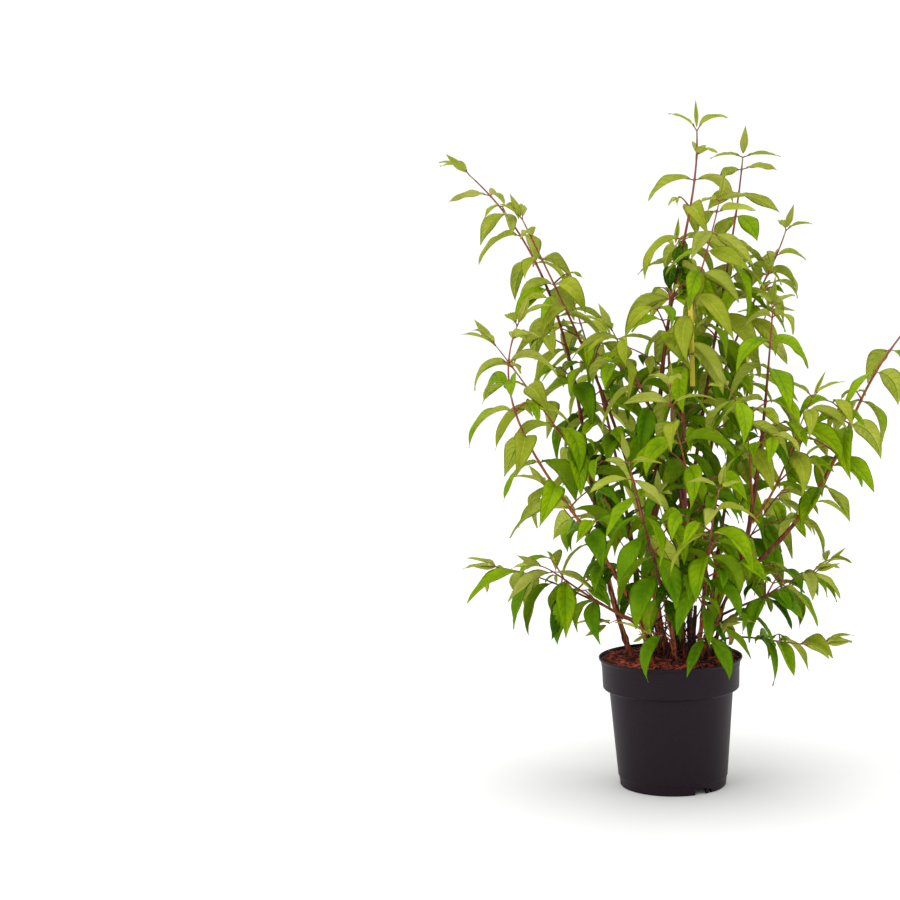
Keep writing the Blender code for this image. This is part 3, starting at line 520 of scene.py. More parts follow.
SHOOTS = (
    Shoot("centre", None, 0, (0.0, 0.0), (-0.145, 0.0, 0.26), (0.049, 0.005, 0.863),
          (-0.065, 0.0, 0.255), 0.027, 0.0042, 0.46, 0.064, 0.047, 0.079, 4, -14, 6459),
    Shoot("inner_right", None, 0, (0.016, 0.024), (-0.015, 0.005, 0.23), (0.109, 0.035, 0.829),
          (0.015, 0.005, 0.225), 0.004, 0.0037, 0.42, 0.029, 0.041, 0.08, 6, 18, 9742),
    Shoot("outer_right", None, 0, (0.03, 0.044), (-0.11, 0.02, 0.225), (0.167, 0.085, 0.733),
          (-0.015, 0.02, 0.195), 0.036, 0.0034, 0.46, 0.023, 0.043, 0.07, 7, -4, 8283),
    Shoot("red_middle", None, 0, (0.02, -0.002), (-0.08, -0.02, 0.195), (0.075, -0.055, 0.769),
          (-0.015, -0.02, 0.185), 0.025, 0.003, 0.44, 0.009, 0.037, 0.08, 2, 24, 3733),
    Shoot("right_trunk", None, 0, (0.032, -0.022), (0.025, -0.005, 0.035), (0.09, -0.03, 0.28),
          (0.025, -0.005, 0.035), 0.0, 0.0046, 1.0, 0, 0, 0, 0, 0, 1),
    Shoot("left_bough", None, 0, (-0.05, 0.012), (-0.08, 0.015, 0.215), (-0.258, 0.06, 0.821),
          (-0.185, 0.015, 0.17), 0.0, 0.0036, 0.36, 0.024, 0.047, 0.083, 4, 3, 4490),
    Shoot("left_upright", None, 0, (-0.016, 0.016), (0.005, 0.005, 0.22), (-0.184, 0.03, 0.758),
          (-0.09, 0.005, 0.195), 0.0, 0.0034, 0.42, 0.035, 0.047, 0.074, 5, -18, 1454),
    Shoot("front_left", None, 0, (-0.022, -0.032), (-0.04, -0.025, 0.155), (-0.18, -0.12, 0.619),
          (0.052, -0.025, 0.14), 0.007, 0.0032, 0.36, 0.018, 0.04, 0.087, 2, -18, 3774),
    Shoot("left_lean", "inner_right", 0.22, None, (0.0, -0.02, 0.105), (-0.066, -0.05, 0.608),
          (-0.045, -0.025, 0.095), 0.0, 0.0026, 0.3, 0.009, 0.045, 0.08, 6, 0, 7084),
    Shoot("right_upright", "right_trunk", 0.995, None, (0.03, -0.01, 0.115), (0.139, -0.06, 0.633),
          (0.01, -0.01, 0.115), 0.0, 0.0034, 0.46, 0.022, 0.044, 0.077, 1, -10, 4938),
    Shoot("right_bough", "right_trunk", 0.93, None, (0.079, 0.01, 0.105), (0.347, 0.0, 0.638),
          (0.045, 0.01, 0.103), 0.02, 0.0032, 0.24, 0.009, 0.044, 0.077, 4, 14, 4992),
    Shoot("front_shoot", "right_trunk", 0.84, None, (0.005, -0.035, 0.08), (0.007, -0.13, 0.535),
          (0.035, -0.04, 0.09), -0.013, 0.0024, 0.36, 0.009, 0.035, 0.078, 3, -16, 3020),
    Shoot("mid_left", "left_upright", 0.16, None, (-0.06, -0.015, 0.105), (-0.218, -0.05, 0.593),
          (-0.08, -0.015, 0.09), 0.005, 0.0026, 0.24, 0.039, 0.04, 0.087, 3, -8, 4843),
    Shoot("low_left", "centre", 0.075, None, (-0.065, -0.015, -0.006), (-0.164, -0.06, 0.303),
          (-0.055, -0.015, 0.02), 0.005, 0.0028, 0.4, 0.021, 0.029, 0.077, 3, 26, 2212),
    Shoot("rear_left", None, 0, (-0.03, 0.04), (-0.02, 0.05, 0.18), (-0.125, 0.2, 0.64),
          (-0.05, 0.05, 0.15), 0.0, 0.0036, 0.34, 0.012, 0.056, 0.086, 1, 19, 90),
    Shoot("rear_middle", None, 0, (0.004, 0.05), (0.01, 0.05, 0.2), (0.02, 0.19, 0.72),
          (0.0, 0.04, 0.18), 0.012, 0.0038, 0.38, 0.012, 0.059, 0.083, 2, 1, 9884),
    Shoot("rear_right", None, 0, (0.048, 0.036), (0.02, 0.05, 0.17), (0.146, 0.2, 0.625),
          (0.04, 0.045, 0.14), 0.0, 0.0034, 0.34, 0.009, 0.061, 0.085, 2, 22, 671),
    Shoot("front_middle", None, 0, (0.008, -0.044), (-0.01, -0.04, 0.11), (-0.046, -0.18, 0.45),
          (-0.02, -0.035, 0.11), 0.0, 0.003, 0.3, 0.015, 0.035, 0.078, 2, 26, 8777),
    Shoot("front_right", None, 0, (0.034, -0.046), (0.012, -0.035, 0.1), (0.064, -0.19, 0.416),
          (0.02, -0.04, 0.09), 0.0, 0.003, 0.3, 0.009, 0.042, 0.076, 4, 2, 126),
    Shoot("tan_side", "right_upright", 0.27, None, (-0.005, -0.025, 0.06), (0.077, -0.11, 0.534),
          (-0.035, -0.025, 0.055), 0.0, 0.0018, 0, 0.062, 0.044, 0.078, 2, 21, 1615),
    Shoot("right_side", "right_upright", 0.2, None, (0.045, -0.01, 0.05), (0.188, -0.06, 0.517),
          (0.03, -0.01, 0.06), 0.0, 0.002, 0, 0.051, 0.04, 0.074, 2, -12, 3153),
    Shoot("low_right", "right_trunk", 0.55, None, (0.06, 0.015, 0.02), (0.21, 0.025, 0.29),
          (0.05, 0.015, 0.03), -0.005, 0.002, 0, 0.051, 0.037, 0.07, 3, 6, 974),
    Shoot("low_right_front", "right_trunk", 0.25, None, (0.03, -0.03, 0.04), (0.186, -0.075, 0.294),
          (0.035, -0.015, 0.015), 0.005, 0.0018, 0, 0.063, 0.038, 0.07, 4, 9, 3889),
    Shoot("lowest_right", "right_trunk", 0.08, None, (0.05, 0.02, 0.05), (0.202, -0.02, 0.19),
          (0.08, -0.01, 0.01), -0.004, 0.0018, 0, 0.042, 0.032, 0.073, 1, 0, 828),
    Shoot("inner_left", "left_upright", 0.15, None, (-0.025, 0.03, 0.02), (-0.089, 0.08, 0.343),
          (-0.025, 0.015, 0.015), 0.0, 0.0016, 0, 0.009, 0.036, 0.078, 1, 12, 8666),
    Shoot("far_low_left", "low_left", 0.38, None, (-0.035, 0.02, 0.016), (-0.231, 0.02, 0.29),
          (-0.045, 0.005, 0.002), 0.0, 0.0018, 0, 0.051, 0.027, 0.083, 0, 26, 2332),
    Shoot("skirt_left", "front_left", 0.1, None, (-0.02, -0.02, 0.02), (-0.081, -0.05, 0.223),
          (-0.025, -0.01, -0.012), 0.0, 0.0014, 0, 0.034, 0.026, 0.07, 2, 14, 268),
    Shoot("skirt_front", "front_middle", 0.1, None, (-0.005, -0.02, 0.02), (-0.03, -0.115, 0.221),
          (-0.01, -0.02, -0.004), 0.0, 0.0014, 0, 0.024, 0.027, 0.072, 2, 10, 1201),
    Shoot("skirt_right", "front_right", 0.1, None, (0.01, -0.01, 0.022), (0.068, -0.1, 0.231),
          (0.02, -0.02, 0.004), 0.0, 0.0014, 0, 0.009, 0.03, 0.07, 1, 26, 2449),
    Shoot("rear_low_left", "rear_left", 0.12, None, (-0.03, 0.02, 0.05), (-0.17, 0.13, 0.39),
          (-0.04, 0.02, 0.05), 0.0, 0.002, 0, 0.047, 0.051, 0.078, 1, 7, 1622),
    Shoot("rear_low", "rear_middle", 0.13, None, (-0.005, 0.04, 0.05), (-0.02, 0.23, 0.35),
          (-0.005, 0.05, 0.04), 0.0, 0.002, 0, 0.056, 0.054, 0.086, 2, 18, 5182),
    Shoot("rear_low_right", "rear_right", 0.12, None, (0.03, 0.025, 0.05), (0.161, 0.16, 0.374),
          (0.04, 0.03, 0.04), 0.0, 0.002, 0, 0.065, 0.046, 0.083, 3, 24, 1714),
    Shoot("inner_front", "red_middle", 0.18, None, (0.0, -0.03, 0.05), (-0.01, -0.11, 0.4),
          (0.0, -0.02, 0.05), 0.0, 0.0018, 0, 0.028, 0.04, 0.074, 2, 15, 1839),
    Shoot("inner_rear", "inner_right", 0.3, None, (0.01, 0.03, 0.05), (0.08, 0.12, 0.52),
          (0.01, 0.025, 0.05), 0.0, 0.0018, 0, 0.028, 0.04, 0.081, 1, 0, 661),
)

# Bark of each shoot's bare stem and of its leafy stretch
DEFAULT_BARKS = (Bark.BROWN, Bark.BROWN)
SHOOT_BARKS = {
    "centre": (Bark.OLD, Bark.BROWN),
    "inner_right": (Bark.OLD, Bark.BROWN),
    "outer_right": (Bark.BROWN, Bark.RED),
    "red_middle": (Bark.RED, Bark.RED),
    "right_trunk": (Bark.OLD, Bark.OLD),
    "right_bough": (Bark.BROWN, Bark.TAN),
    "front_left": (Bark.TAN, Bark.TAN),
    "front_shoot": (Bark.TAN, Bark.TAN),
    "mid_left": (Bark.BROWN, Bark.TAN),
    "tan_side": (Bark.TAN, Bark.TAN),
    "low_left": (Bark.TAN, Bark.TAN),
    "right_side": (Bark.TAN, Bark.TAN),
}


class Course:
    """A course as evenly sampled points with their arc lengths."""

    SAMPLES = 160
    REACH = 0.004

    def __init__(self, points: list[Vector]) -> None:
        """Measures the course.

        Args:
            points: Points at equal steps of the curve's own share.
        """
        self.points = points
        self.arc = [0.0]
        for a, b in zip(points, points[1:]):
            self.arc.append(self.arc[-1] + (b - a).length)
        self.length = self.arc[-1]

    @classmethod
    def of_shoot(cls, shoot: Shoot, foot: Vector) -> "Course":
        """Course of a shoot: a cubic curve with a sideways sway."""
        tip = Vector(shoot.tip)
        pulls = (foot, foot + Vector(shoot.lean), tip - Vector(shoot.nod), tip)
        points = []
        for i in range(cls.SAMPLES + 1):
            t = i / cls.SAMPLES
            s = 1.0 - t
            shares = (s**3, 3 * s * s * t, 3 * s * t * t, t**3)
            point = sum((p * k for p, k in zip(pulls, shares)), Vector())
            point.x += shoot.sway * math.sin(2 * math.pi * t)
            points.append(point)
        return cls(points)

    @classmethod
    def of_twig(cls, twig: Twig, bend: float) -> "Course":
        """Course of a side twig, which rises and then bends level."""
        out = polar(1.0, twig.heading)
        points = []
        for i in range(cls.SAMPLES + 1):
            t = i / cls.SAMPLES
            lift = math.sin(twig.rise) * twig.length * (t - bend * t * t)
            points.append(twig.root + out * (math.cos(twig.rise) * twig.length * t) + UP * lift)
        return cls(points)

    def at(self, run: float) -> Vector:
        """Point at an arc length."""
        run = min(max(run, 0.0), self.length)
        for i in range(1, len(self.arc)):
            if self.arc[i] >= run:
                span = self.arc[i] - self.arc[i - 1]
                share = (run - self.arc[i - 1]) / span if span else 0.0
                return self.points[i - 1].lerp(self.points[i], share)
        return self.points[-1].copy()

    def way(self, run: float) -> Vector:
        """Direction at an arc length."""
        return (self.at(run + self.REACH) - self.at(run - self.REACH)).normalized()


@dataclass
class Growth:
    """The seeded rule by which a shoot carries leaf pairs and side twigs, with the sizes of its solids."""

    soil_top: float = 0.164
    pot_top: float = 0.172
    pot_reach: float = 0.095
    tip_share: float = 0.26
    flare: float = 1.2
    flare_height: float = 0.014
    gap_at_foot: float = 1.08
    gap_loss: float = 0.45
    gap_spread: float = 0.12
    last_gap: float = 0.014
    tip_back: float = 0.004
    axis_spread: float = 0.25
    heading_spread: float = 0.2
    first_size: float = 0.85
    young_power: int = 4
    young_size_loss: float = 0.42
    young_width_loss: float = 0.25
    young_roll_loss: float = 0.6
    young_rise: float = 30.0
    young_lift: float = 75.0
    rise: Pair = (0.0, 30.0)
    fall: Pair = (62.0, 98.0)
    roll: float = 0.85
    length_share: Pair = (0.86, 1.08)
    width_share: Pair = (0.38, 0.46)
    steep: float = 0.35
    forward: float = 0.35
    young_forward: float = 1.2
    bud_share: float = 0.45
    bud_width: float = 0.22
    petiole: float = 0.005
    sink_share: float = 0.3
    arch_steps: int = 12
    arch_power: float = 0.65
    twig_root: float = 0.0013
    twig_tip: float = 0.0008
    twig_length: float = 0.062
    twig_reach: Pair = (0.55, 1.0)
    twig_loss: float = 0.35
    twig_turn: float = 0.4
    twig_lift: Pair = (28.0, 55.0)
    twig_bend: float = 0.25
    twig_rise: float = 0.004
    twig_leaf: float = 0.72
    two_pairs: float = 0.045
    pair_step: float = 0.52
    pair_back: float = 0.002
    pair_loss: float = 0.16
    end_splay: Pair = (0.55, 1.1)
    side_splay: Pair = (1.1, 1.6)
    small_rise: Pair = (10.0, 40.0)
    small_fall: Pair = (45.0, 90.0)
    turns: tuple[float, ...] = (0.0, 22.0, -22.0, 44.0, -44.0)

    def radius(self, shoot: Shoot, line: Course, run: float) -> float:
        """Radius of a shoot at an arc length."""
        radius = shoot.thick * (1.0 - (1.0 - self.tip_share) * run / line.length)
        if shoot.parent is None and run < self.flare_height:
            radius *= 1.0 + (self.flare - 1.0) * (1.0 - run / self.flare_height) ** 2
        return radius

    def runs(self, shoot: Shoot, line: Course, start: float, rng: random.Random) -> list[float]:
        """Arc lengths of a shoot's leaf pairs, the last one at its bud."""
        runs = []
        run = start + shoot.first
        while run < line.length - self.last_gap:
            runs.append(run)
            share = (run - start) / (line.length - start)
            spread = rng.uniform(1.0 - self.gap_spread, 1.0 + self.gap_spread)
            run += shoot.gap * (self.gap_at_foot - self.gap_loss * share) * spread
        return runs + [line.length - self.tip_back]

    def heading(self, out: Vector, way: Vector, young: float) -> float:
        """Compass heading of a leaf: outward, and the more forward the younger it is."""
        flat = Vector((out.x, out.y, 0.0))
        if flat.length < self.steep:
            flat = Vector((-way.y, way.x, 0.0)) * (1.0 if out.z >= 0 else -1.0)
        ahead = Vector((way.x, way.y, 0.0)) * (self.forward + self.young_forward * young)
        flat = flat.normalized() + ahead
        return math.atan2(flat.y, flat.x)

    def pair_leaf(
        self, shoot: Shoot, point: Vector, heading: float, young: float, size: float, sink: float,
        rng: random.Random,
    ) -> Leaf:
        """One leaf of a pair."""
        return Leaf(
            point,
            heading + rng.uniform(-self.heading_spread, self.heading_spread),
            math.radians(rng.uniform(*self.rise) + self.young_rise * young - shoot.hang),
            math.radians(rng.uniform(*self.fall) - self.young_lift * young),
            rng.uniform(-self.roll, self.roll) * (1.0 - self.young_roll_loss * young),
            size * rng.uniform(*self.length_share),
            size * rng.uniform(*self.width_share) * (1.0 - self.young_width_loss * young),
            sink,
        )

    def side_twig(
        self, line: Course, run: float, heading: float, share: float, size: float, rng: random.Random
    ) -> Twig:
        """One side twig, with two pairs of leaves where it is long enough."""
        turn = rng.uniform(-self.twig_turn, self.twig_turn)
        length = self.twig_length * rng.uniform(*self.twig_reach) * (1.0 - self.twig_loss * share)
        lift = math.radians(rng.uniform(*self.twig_lift))
        pairs = 2 if length > self.two_pairs else 1
        return Twig(line.at(run + self.twig_rise), heading + turn, lift, length, pairs, size * self.twig_leaf)

    def bud(self, shoot: Shoot, line: Course, spin: float) -> Leaf:
        """The bud that ends a shoot, straight along its course."""
        end = line.length - self.tip_back
        way = line.way(end)
        heading = math.atan2(way.y, way.x)
        rise = math.asin(max(-1.0, min(1.0, way.z)))
        length = shoot.leaf * self.bud_share
        return Leaf(line.at(end), heading, rise, -rise, spin, length, length * self.bud_width)

    def grow(
        self, shoot: Shoot, line: Course, start: float, rng: random.Random
    ) -> tuple[list[tuple[Leaf, float]], list[Twig], Leaf, list[float]]:
        """Grows a shoot.

        Args:
            shoot: The shoot.
            line: Its course.
            start: Arc length where its leafy stretch starts.
            rng: Source of its draws.

        Returns:
            Its leaves with the youth of each, its side twigs, its bud and the arc lengths of its pairs.
        """
        leaves, twigs = [], []
        spin = rng.uniform(0.0, math.pi)
        runs = self.runs(shoot, line, start, rng)
        for count, run in enumerate(runs):
            share = count / max(1, len(runs) - 1)
            young = share**self.young_power
            point, way = line.at(run), line.way(run)
            aside = way.cross(Vector((0.0, 1.0, 0.0))).normalized()
            up = aside.cross(way).normalized()
            angle = spin + count * math.pi / 2 + rng.uniform(-self.axis_spread, self.axis_spread)
            axis = aside * math.cos(angle) + up * math.sin(angle)
            size = shoot.leaf * (1.0 - self.young_size_loss * young) * (1.0 if count else self.first_size)
            sink = self.radius(shoot, line, run) * self.sink_share
            for side, out in enumerate((axis, -axis)):
                heading = self.heading(out, way, young)
                leaves.append((self.pair_leaf(shoot, point, heading, young, size, sink, rng), young))
                twig = self.side_twig(line, run, heading, share, size, rng)
                if count < len(runs) - 2 and len(twigs) < shoot.twigs and (count + side) % 2:
                    twigs.append(twig)
        return leaves, twigs, self.bud(shoot, line, spin), runs

    def small_leaves(self, twig: Twig, line: Course, rng: random.Random) -> list[Leaf]:
        """Leaf pairs of a side twig: the end pair forward, the pair behind it square to the twig."""
        leaves = []
        for pair in range(twig.pairs):
            run = line.length * (1.0 - self.pair_step * pair) - self.pair_back
            size = twig.leaf * (1.0 - self.pair_loss * pair)
            splay = self.side_splay if pair else self.end_splay
            for side in (1.0, -1.0):
                leaves.append(
                    Leaf(
                        line.at(run),
                        twig.heading + side * rng.uniform(*splay),
                        math.radians(rng.uniform(*self.small_rise)),
                        math.radians(rng.uniform(*self.small_fall)),
                        rng.uniform(-self.roll, self.roll),
                        size * rng.uniform(*self.length_share),
                        size * rng.uniform(*self.width_share),
                        self.twig_tip * self.sink_share,
                    )
                )
        return leaves

    def spine(self, leaf: Leaf, steps: int) -> list[Vector]:
        """Points along a leaf's arch, from its root to its tip."""
        out = polar(1.0, leaf.heading)
        points = [leaf.root + out * leaf.sink]
        total = leaf.length + self.petiole
        for i in range(steps):
            tilt = leaf.rise - (leaf.rise + leaf.fall) * ((i + 0.5) / steps) ** self.arch_power
            points.append(points[-1] + (out * math.cos(tilt) + UP * math.sin(tilt)) * (total / steps))
        return points


class Solids:
    """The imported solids: where a leaf of a mass stands, and what a new leaf must keep clear of."""

    NEAR = 0.0006
    TWIG_NEAR = 0.0016
    POT_NEAR = 0.004
    STALK_SHARE = 0.16
    WIDE_AT = 0.32
    NARROW_AT = 0.68
    NARROW_SHARE = 0.62
    START_STEP = 0.0005
    START_TRIES = 90
    START_CORNERS = 4
    RAY_TURNS = 8
    RAY_LIFTS = (0.15, 0.9)
    RAY_START = 0.012

    def __init__(self, growth: Growth) -> None:
        """Makes the search trees.

        Args:
            growth: The rule that the solids follow.
        """
        self.growth = growth
        self.corners: dict[str, KDTree] = {}
        self.trees: dict[str, BVHTree] = {}
        self.extra: list[BVHTree] = []
        points: list[Vector] = []
        faces: list[tuple[int, ...]] = []
        for name, node in frame["nodes"].items():
            own = [v.co.copy() for v in node.data.vertices]
            tree = KDTree(len(own))
            for i, point in enumerate(own):
                tree.insert(point, i)
            tree.balance()
            self.corners[name] = tree
            sides = [tuple(p.vertices) for p in node.data.polygons]
            self.trees[name] = BVHTree.FromPolygons(own, sides)
            faces += [tuple(i + len(points) for i in side) for side in sides]
            points += own
        self.whole = BVHTree.FromPolygons(points, faces)
        turns = [2 * math.pi * k / self.RAY_TURNS for k in range(self.RAY_TURNS)]
        self.rays = [polar(1.0, turn, lift).normalized() for lift in self.RAY_LIFTS for turn in turns]

    def light(self, leaf: Leaf) -> float:
        """Share of the sky and the sides that a leaf's middle sees past the solids."""
        middle = self.growth.spine(leaf, 2)[1]
        free = sum(self.whole.ray_cast(middle + ray * self.RAY_START, ray)[0] is None for ray in self.rays)
        return free / len(self.rays)

    def start(self, shoot: Shoot, line: Course) -> float:
        """Arc length where the solid of a shoot with no bare stem begins.

        Args:
            shoot: The shoot.
            line: Its course.

        Returns:
            The arc length whose ring fits the solid's end best.
        """
        tree = self.corners[f"{shoot.name}_leaves"]
        best, found = math.inf, 0.0
        for k in range(self.START_TRIES + 1):
            run = k * self.START_STEP
            radius = self.growth.radius(shoot, line, run)
            miss = sum(abs(near[2] - radius) for near in tree.find_n(line.at(run), self.START_CORNERS))
            if miss < best:
                best, found = miss, run
        return found

    def standing(self, node: str, leaf: Leaf) -> Leaf | None:
        """The leaf turned as its solid is, or None where the solid has no such leaf."""
        for turn in self.growth.turns:
            turned = replace(leaf, heading=leaf.heading + math.radians(turn))
            tip = self.growth.spine(turned, self.growth.arch_steps)[-1]
            if self.corners[node].find(tip)[2] < self.NEAR:
                return turned
        return None

    def has_twig(self, node: str, end: Vector) -> bool:
        """Whether the solid has the twig that ends at a point."""
        return self.corners[node].find(end)[2] < self.TWIG_NEAR

    def sheet(self, leaf: Leaf) -> BVHTree:
        """Search tree of a leaf's outline, from a little beyond its stalk."""
        spine = self.growth.spine(leaf, self.growth.arch_steps)
        aside = Vector((-math.sin(leaf.heading), math.cos(leaf.heading), 0.0))
        rows = [spine[0].lerp(spine[-1], self.STALK_SHARE)]
        for share, width in ((self.WIDE_AT, leaf.width), (self.NARROW_AT, leaf.width * self.NARROW_SHARE)):
            i = int(share * self.growth.arch_steps)
            along = (spine[i + 1] - spine[i]).normalized()
            edge = Matrix.Rotation(leaf.roll, 3, along) @ aside * (width / 2)
            rows += [spine[i] + edge, spine[i] - edge]
        rows.append(spine[-1])
        return BVHTree.FromPolygons(rows, [(0, 1, 2), (1, 3, 4), (1, 4, 2), (3, 5, 4)])

    def clear(self, leaf: Leaf) -> bool:
        """Whether a leaf that the solids don't have stands clear, and claims its place if so."""
        tip = self.growth.spine(leaf, self.growth.arch_steps)[-1]
        low = tip.z < self.growth.pot_top + self.POT_NEAR
        if low and math.hypot(tip.x, tip.y) < self.growth.pot_reach + self.POT_NEAR:
            return False
        sheet = self.sheet(leaf)
        if any(sheet.overlap(tree) for tree in [*self.trees.values(), *self.extra]):
            return False
        self.extra.append(sheet)
        return True

    def placed(self, leaf: Leaf) -> Leaf | None:
        """A leaf that the solids don't have, turned until it stands clear, or None."""
        for turn in self.growth.turns:
            turned = replace(leaf, heading=leaf.heading + math.radians(turn))
            if self.clear(turned):
                return turned
        return None


@dataclass
class Blade:
    """Cut of a leaf's blade: outline, fold, forward veins with swellings between, teeth and a thin body."""

    slim: float = 0.88
    columns: tuple[float, ...] = (-0.72, -0.38, -0.05, 0.05, 0.38, 0.72)
    midrib: float = 0.1
    fine_steps: int = 48
    vein_gap: float = 0.0105
    veins: tuple[int, int] = (3, 7)
    first_vein: float = 0.6
    vein_width: float = 0.0006
    between: tuple[float, ...] = (0.33, 0.67)
    tail: tuple[float, ...] = (0.35, 0.6, 0.8, 0.92)
    tail_swell: float = 0.6
    slant: float = 0.2
    slant_power: float = 1.5
    widest: Pair = (0.36, 0.46)
    base_power: float = 0.86
    tip_power: float = 1.18
    tip_swell: float = 0.7
    least_width: Pair = (0.09, 0.02)
    fold: Pair = (0.5, 1.05)
    cup: Pair = (0.2, 0.5)
    twist: float = 0.6
    bend: float = 0.24
    quilt: float = 0.0014
    wave: float = 0.0009
    waves: Pair = (1.4, 2.4)
    tooth: float = 0.00035
    tooth_at: float = 0.72
    body: float = 0.0003
    rib: float = 0.0005

    def outline(self, share: np.ndarray, widest: float) -> np.ndarray:
        """Half width along a blade, as a share of the widest."""
        base = np.sin(math.pi / 2 * np.clip(share / widest, 0, 1) ** self.base_power)
        t = np.clip((share - widest) / (1 - widest), 0, 1)
        taper = (1 - t) ** self.tip_power * (1 + self.tip_swell * t)
        low = self.least_width[0] + (self.least_width[1] - self.least_width[0]) * share
        return np.maximum(np.where(share < widest, base, taper), low)

    def rows(self, length: float) -> tuple[np.ndarray, np.ndarray, np.ndarray]:
        """Rows of a blade's mesh.

        Args:
            length: Length of the blade.

        Returns:
            The share of the midrib where each row starts, how far it swells up, and whether a vein fills the
            stretch after it.
        """
        count = min(max(round(length / self.vein_gap), self.veins[0]), self.veins[1])
        half = self.vein_width / length / 2
        centres = (np.arange(count) + self.first_vein) / (count + 1.0)
        marks = [(0.0, 0.0, False)]
        before = 0.0
        for centre in centres:
            span = centre - before
            marks += [(before + span * k, 1.0, False) for k in (self.between if before else self.between[1:])]
            marks += [(centre - half, 0.0, True), (centre + half, 0.0, False)]
            before = centre
        marks += [(before + (1.0 - before) * k, self.tail_swell * (1.0 - k), False) for k in self.tail]
        marks.append((1.0, 0.0, False))
        shares, swells, veins = zip(*marks)
        return np.array(shares), np.array(swells), np.array(veins)

    def sides(
        self, veins: np.ndarray, rim_points: int, slots: tuple[int, int, int]
    ) -> list[tuple[np.ndarray, np.ndarray | int]]:
        """Faces of a blade: the upper sheet, the lower one inside its outline, and the toothed rims.

        Args:
            veins: Whether a vein fills the stretch after each row.
            rim_points: Points along each toothed rim.
            slots: Finish numbers of the upper face, the lower face and the veins.

        Returns:
            Face arrays with their finish numbers.
        """
        upper, under, rib = slots
        count, wide = len(veins), len(self.columns)
        number = np.arange(count * wide).reshape(count, wide)
        inner = number.copy()
        inner[1:-1] = count * wide + np.arange((count - 2) * wide).reshape(count - 2, wide)
        first = count * wide + (count - 2) * wide
        quads = grid_faces(count, wide)
        middle = np.arange(wide - 1) == (wide - 2) // 2
        ribbed = (veins[:-1, None] | middle[None]).ravel()
        parts = [
            (quads, np.where(ribbed, rib, upper)),
            (inner.ravel()[quads][:, [0, 3, 2, 1]], np.where(ribbed, rib, under)),
        ]
        step = np.arange(count - 1)
        for sheet, slot in ((number, upper), (inner, under)):
            for side, start in ((0, first), (1, first + rim_points)):
                near, far = sheet[:-1, -side], sheet[1:, -side]
                rim = start + 2 * step
                triples = ((near, rim, rim + 1), (near, rim + 1, far), (far, rim + 1, rim + 2))
                fans = [np.stack(triple, -1) for triple in triples]
                turned = (side == 1) == (sheet is number)
                parts += [(fan[:, ::-1] if turned else fan, slot) for fan in fans]
        return parts

    def add(
        self, buffer: Buffer, growth: Growth, leaf: Leaf, slots: tuple[int, int, int], rng: random.Random
    ) -> None:
        """Adds one leaf's blade.

        Args:
            buffer: Where the blade goes.
            growth: The rule that gives the leaf's arch.
            leaf: The leaf.
            slots: Finish numbers of its upper face, its lower face and its veins.
            rng: Source of its own small differences.
        """
        total = leaf.length + growth.petiole
        fine = (np.arange(self.fine_steps) + 0.5) / self.fine_steps
        tilt = leaf.rise - (leaf.rise + leaf.fall) * fine**growth.arch_power
        ends = np.linspace(0.0, 1.0, self.fine_steps + 1)
        level = np.concatenate([[0], np.cumsum(np.cos(tilt))]) * total / self.fine_steps
        height = np.concatenate([[0], np.cumsum(np.sin(tilt))]) * total / self.fine_steps
        out = np.array([math.cos(leaf.heading), math.sin(leaf.heading), 0.0])
        aside = np.array([-out[1], out[0], 0.0])
        top = np.array([0.0, 0.0, 1.0])
        widest = rng.uniform(*self.widest)
        bend = rng.uniform(-self.bend, self.bend) * leaf.length
        twist = rng.uniform(-self.twist, self.twist)
        fold, cup = rng.uniform(*self.fold), rng.uniform(*self.cup)
        waves, phase = rng.uniform(*self.waves), rng.random()

        def place(
            row: np.ndarray, column: np.ndarray, swell: np.ndarray, reach: np.ndarray, deep: float
        ) -> np.ndarray:
            """Points at the blade's rows and columns, by their swelling, tooth and depth below the face."""
            wide = np.abs(column)
            share = row + self.slant * 4.0 * row * (1.0 - row) * wide**self.slant_power
            along = (growth.petiole + leaf.length * share) / total
            angle = leaf.rise - (leaf.rise + leaf.fall) * along**growth.arch_power
            roll = leaf.roll + twist * share
            rise = top * np.cos(angle)[..., None] - out * np.sin(angle)[..., None]
            edge = aside * np.cos(roll)[..., None] + rise * np.sin(roll)[..., None]
            face = rise * np.cos(roll)[..., None] - aside * np.sin(roll)[..., None]
            half = leaf.width / 2 * self.slim * self.outline(share, widest)
            across = column * (half + reach)
            lift = half * (fold * wide - cup * wide**2)
            lift = lift + self.quilt * swell * (1.0 - wide**4) * (wide > self.midrib)
            ripple = np.sin(2 * math.pi * (share * waves + phase))
            lift = lift + self.wave * ripple * np.sign(column) * wide**3
            thin = half / (leaf.width / 2)
            lift = lift - deep * thin * (self.body * (1.0 - wide**2) + self.rib * (wide < self.midrib))
            spine = out * (np.interp(along, ends, level) + leaf.sink)[..., None]
            spine = spine + top * np.interp(along, ends, height)[..., None]
            spine = spine + aside * (bend * share**2)[..., None]
            return np.array(leaf.root) + spine + edge * across[..., None] + face * lift[..., None]

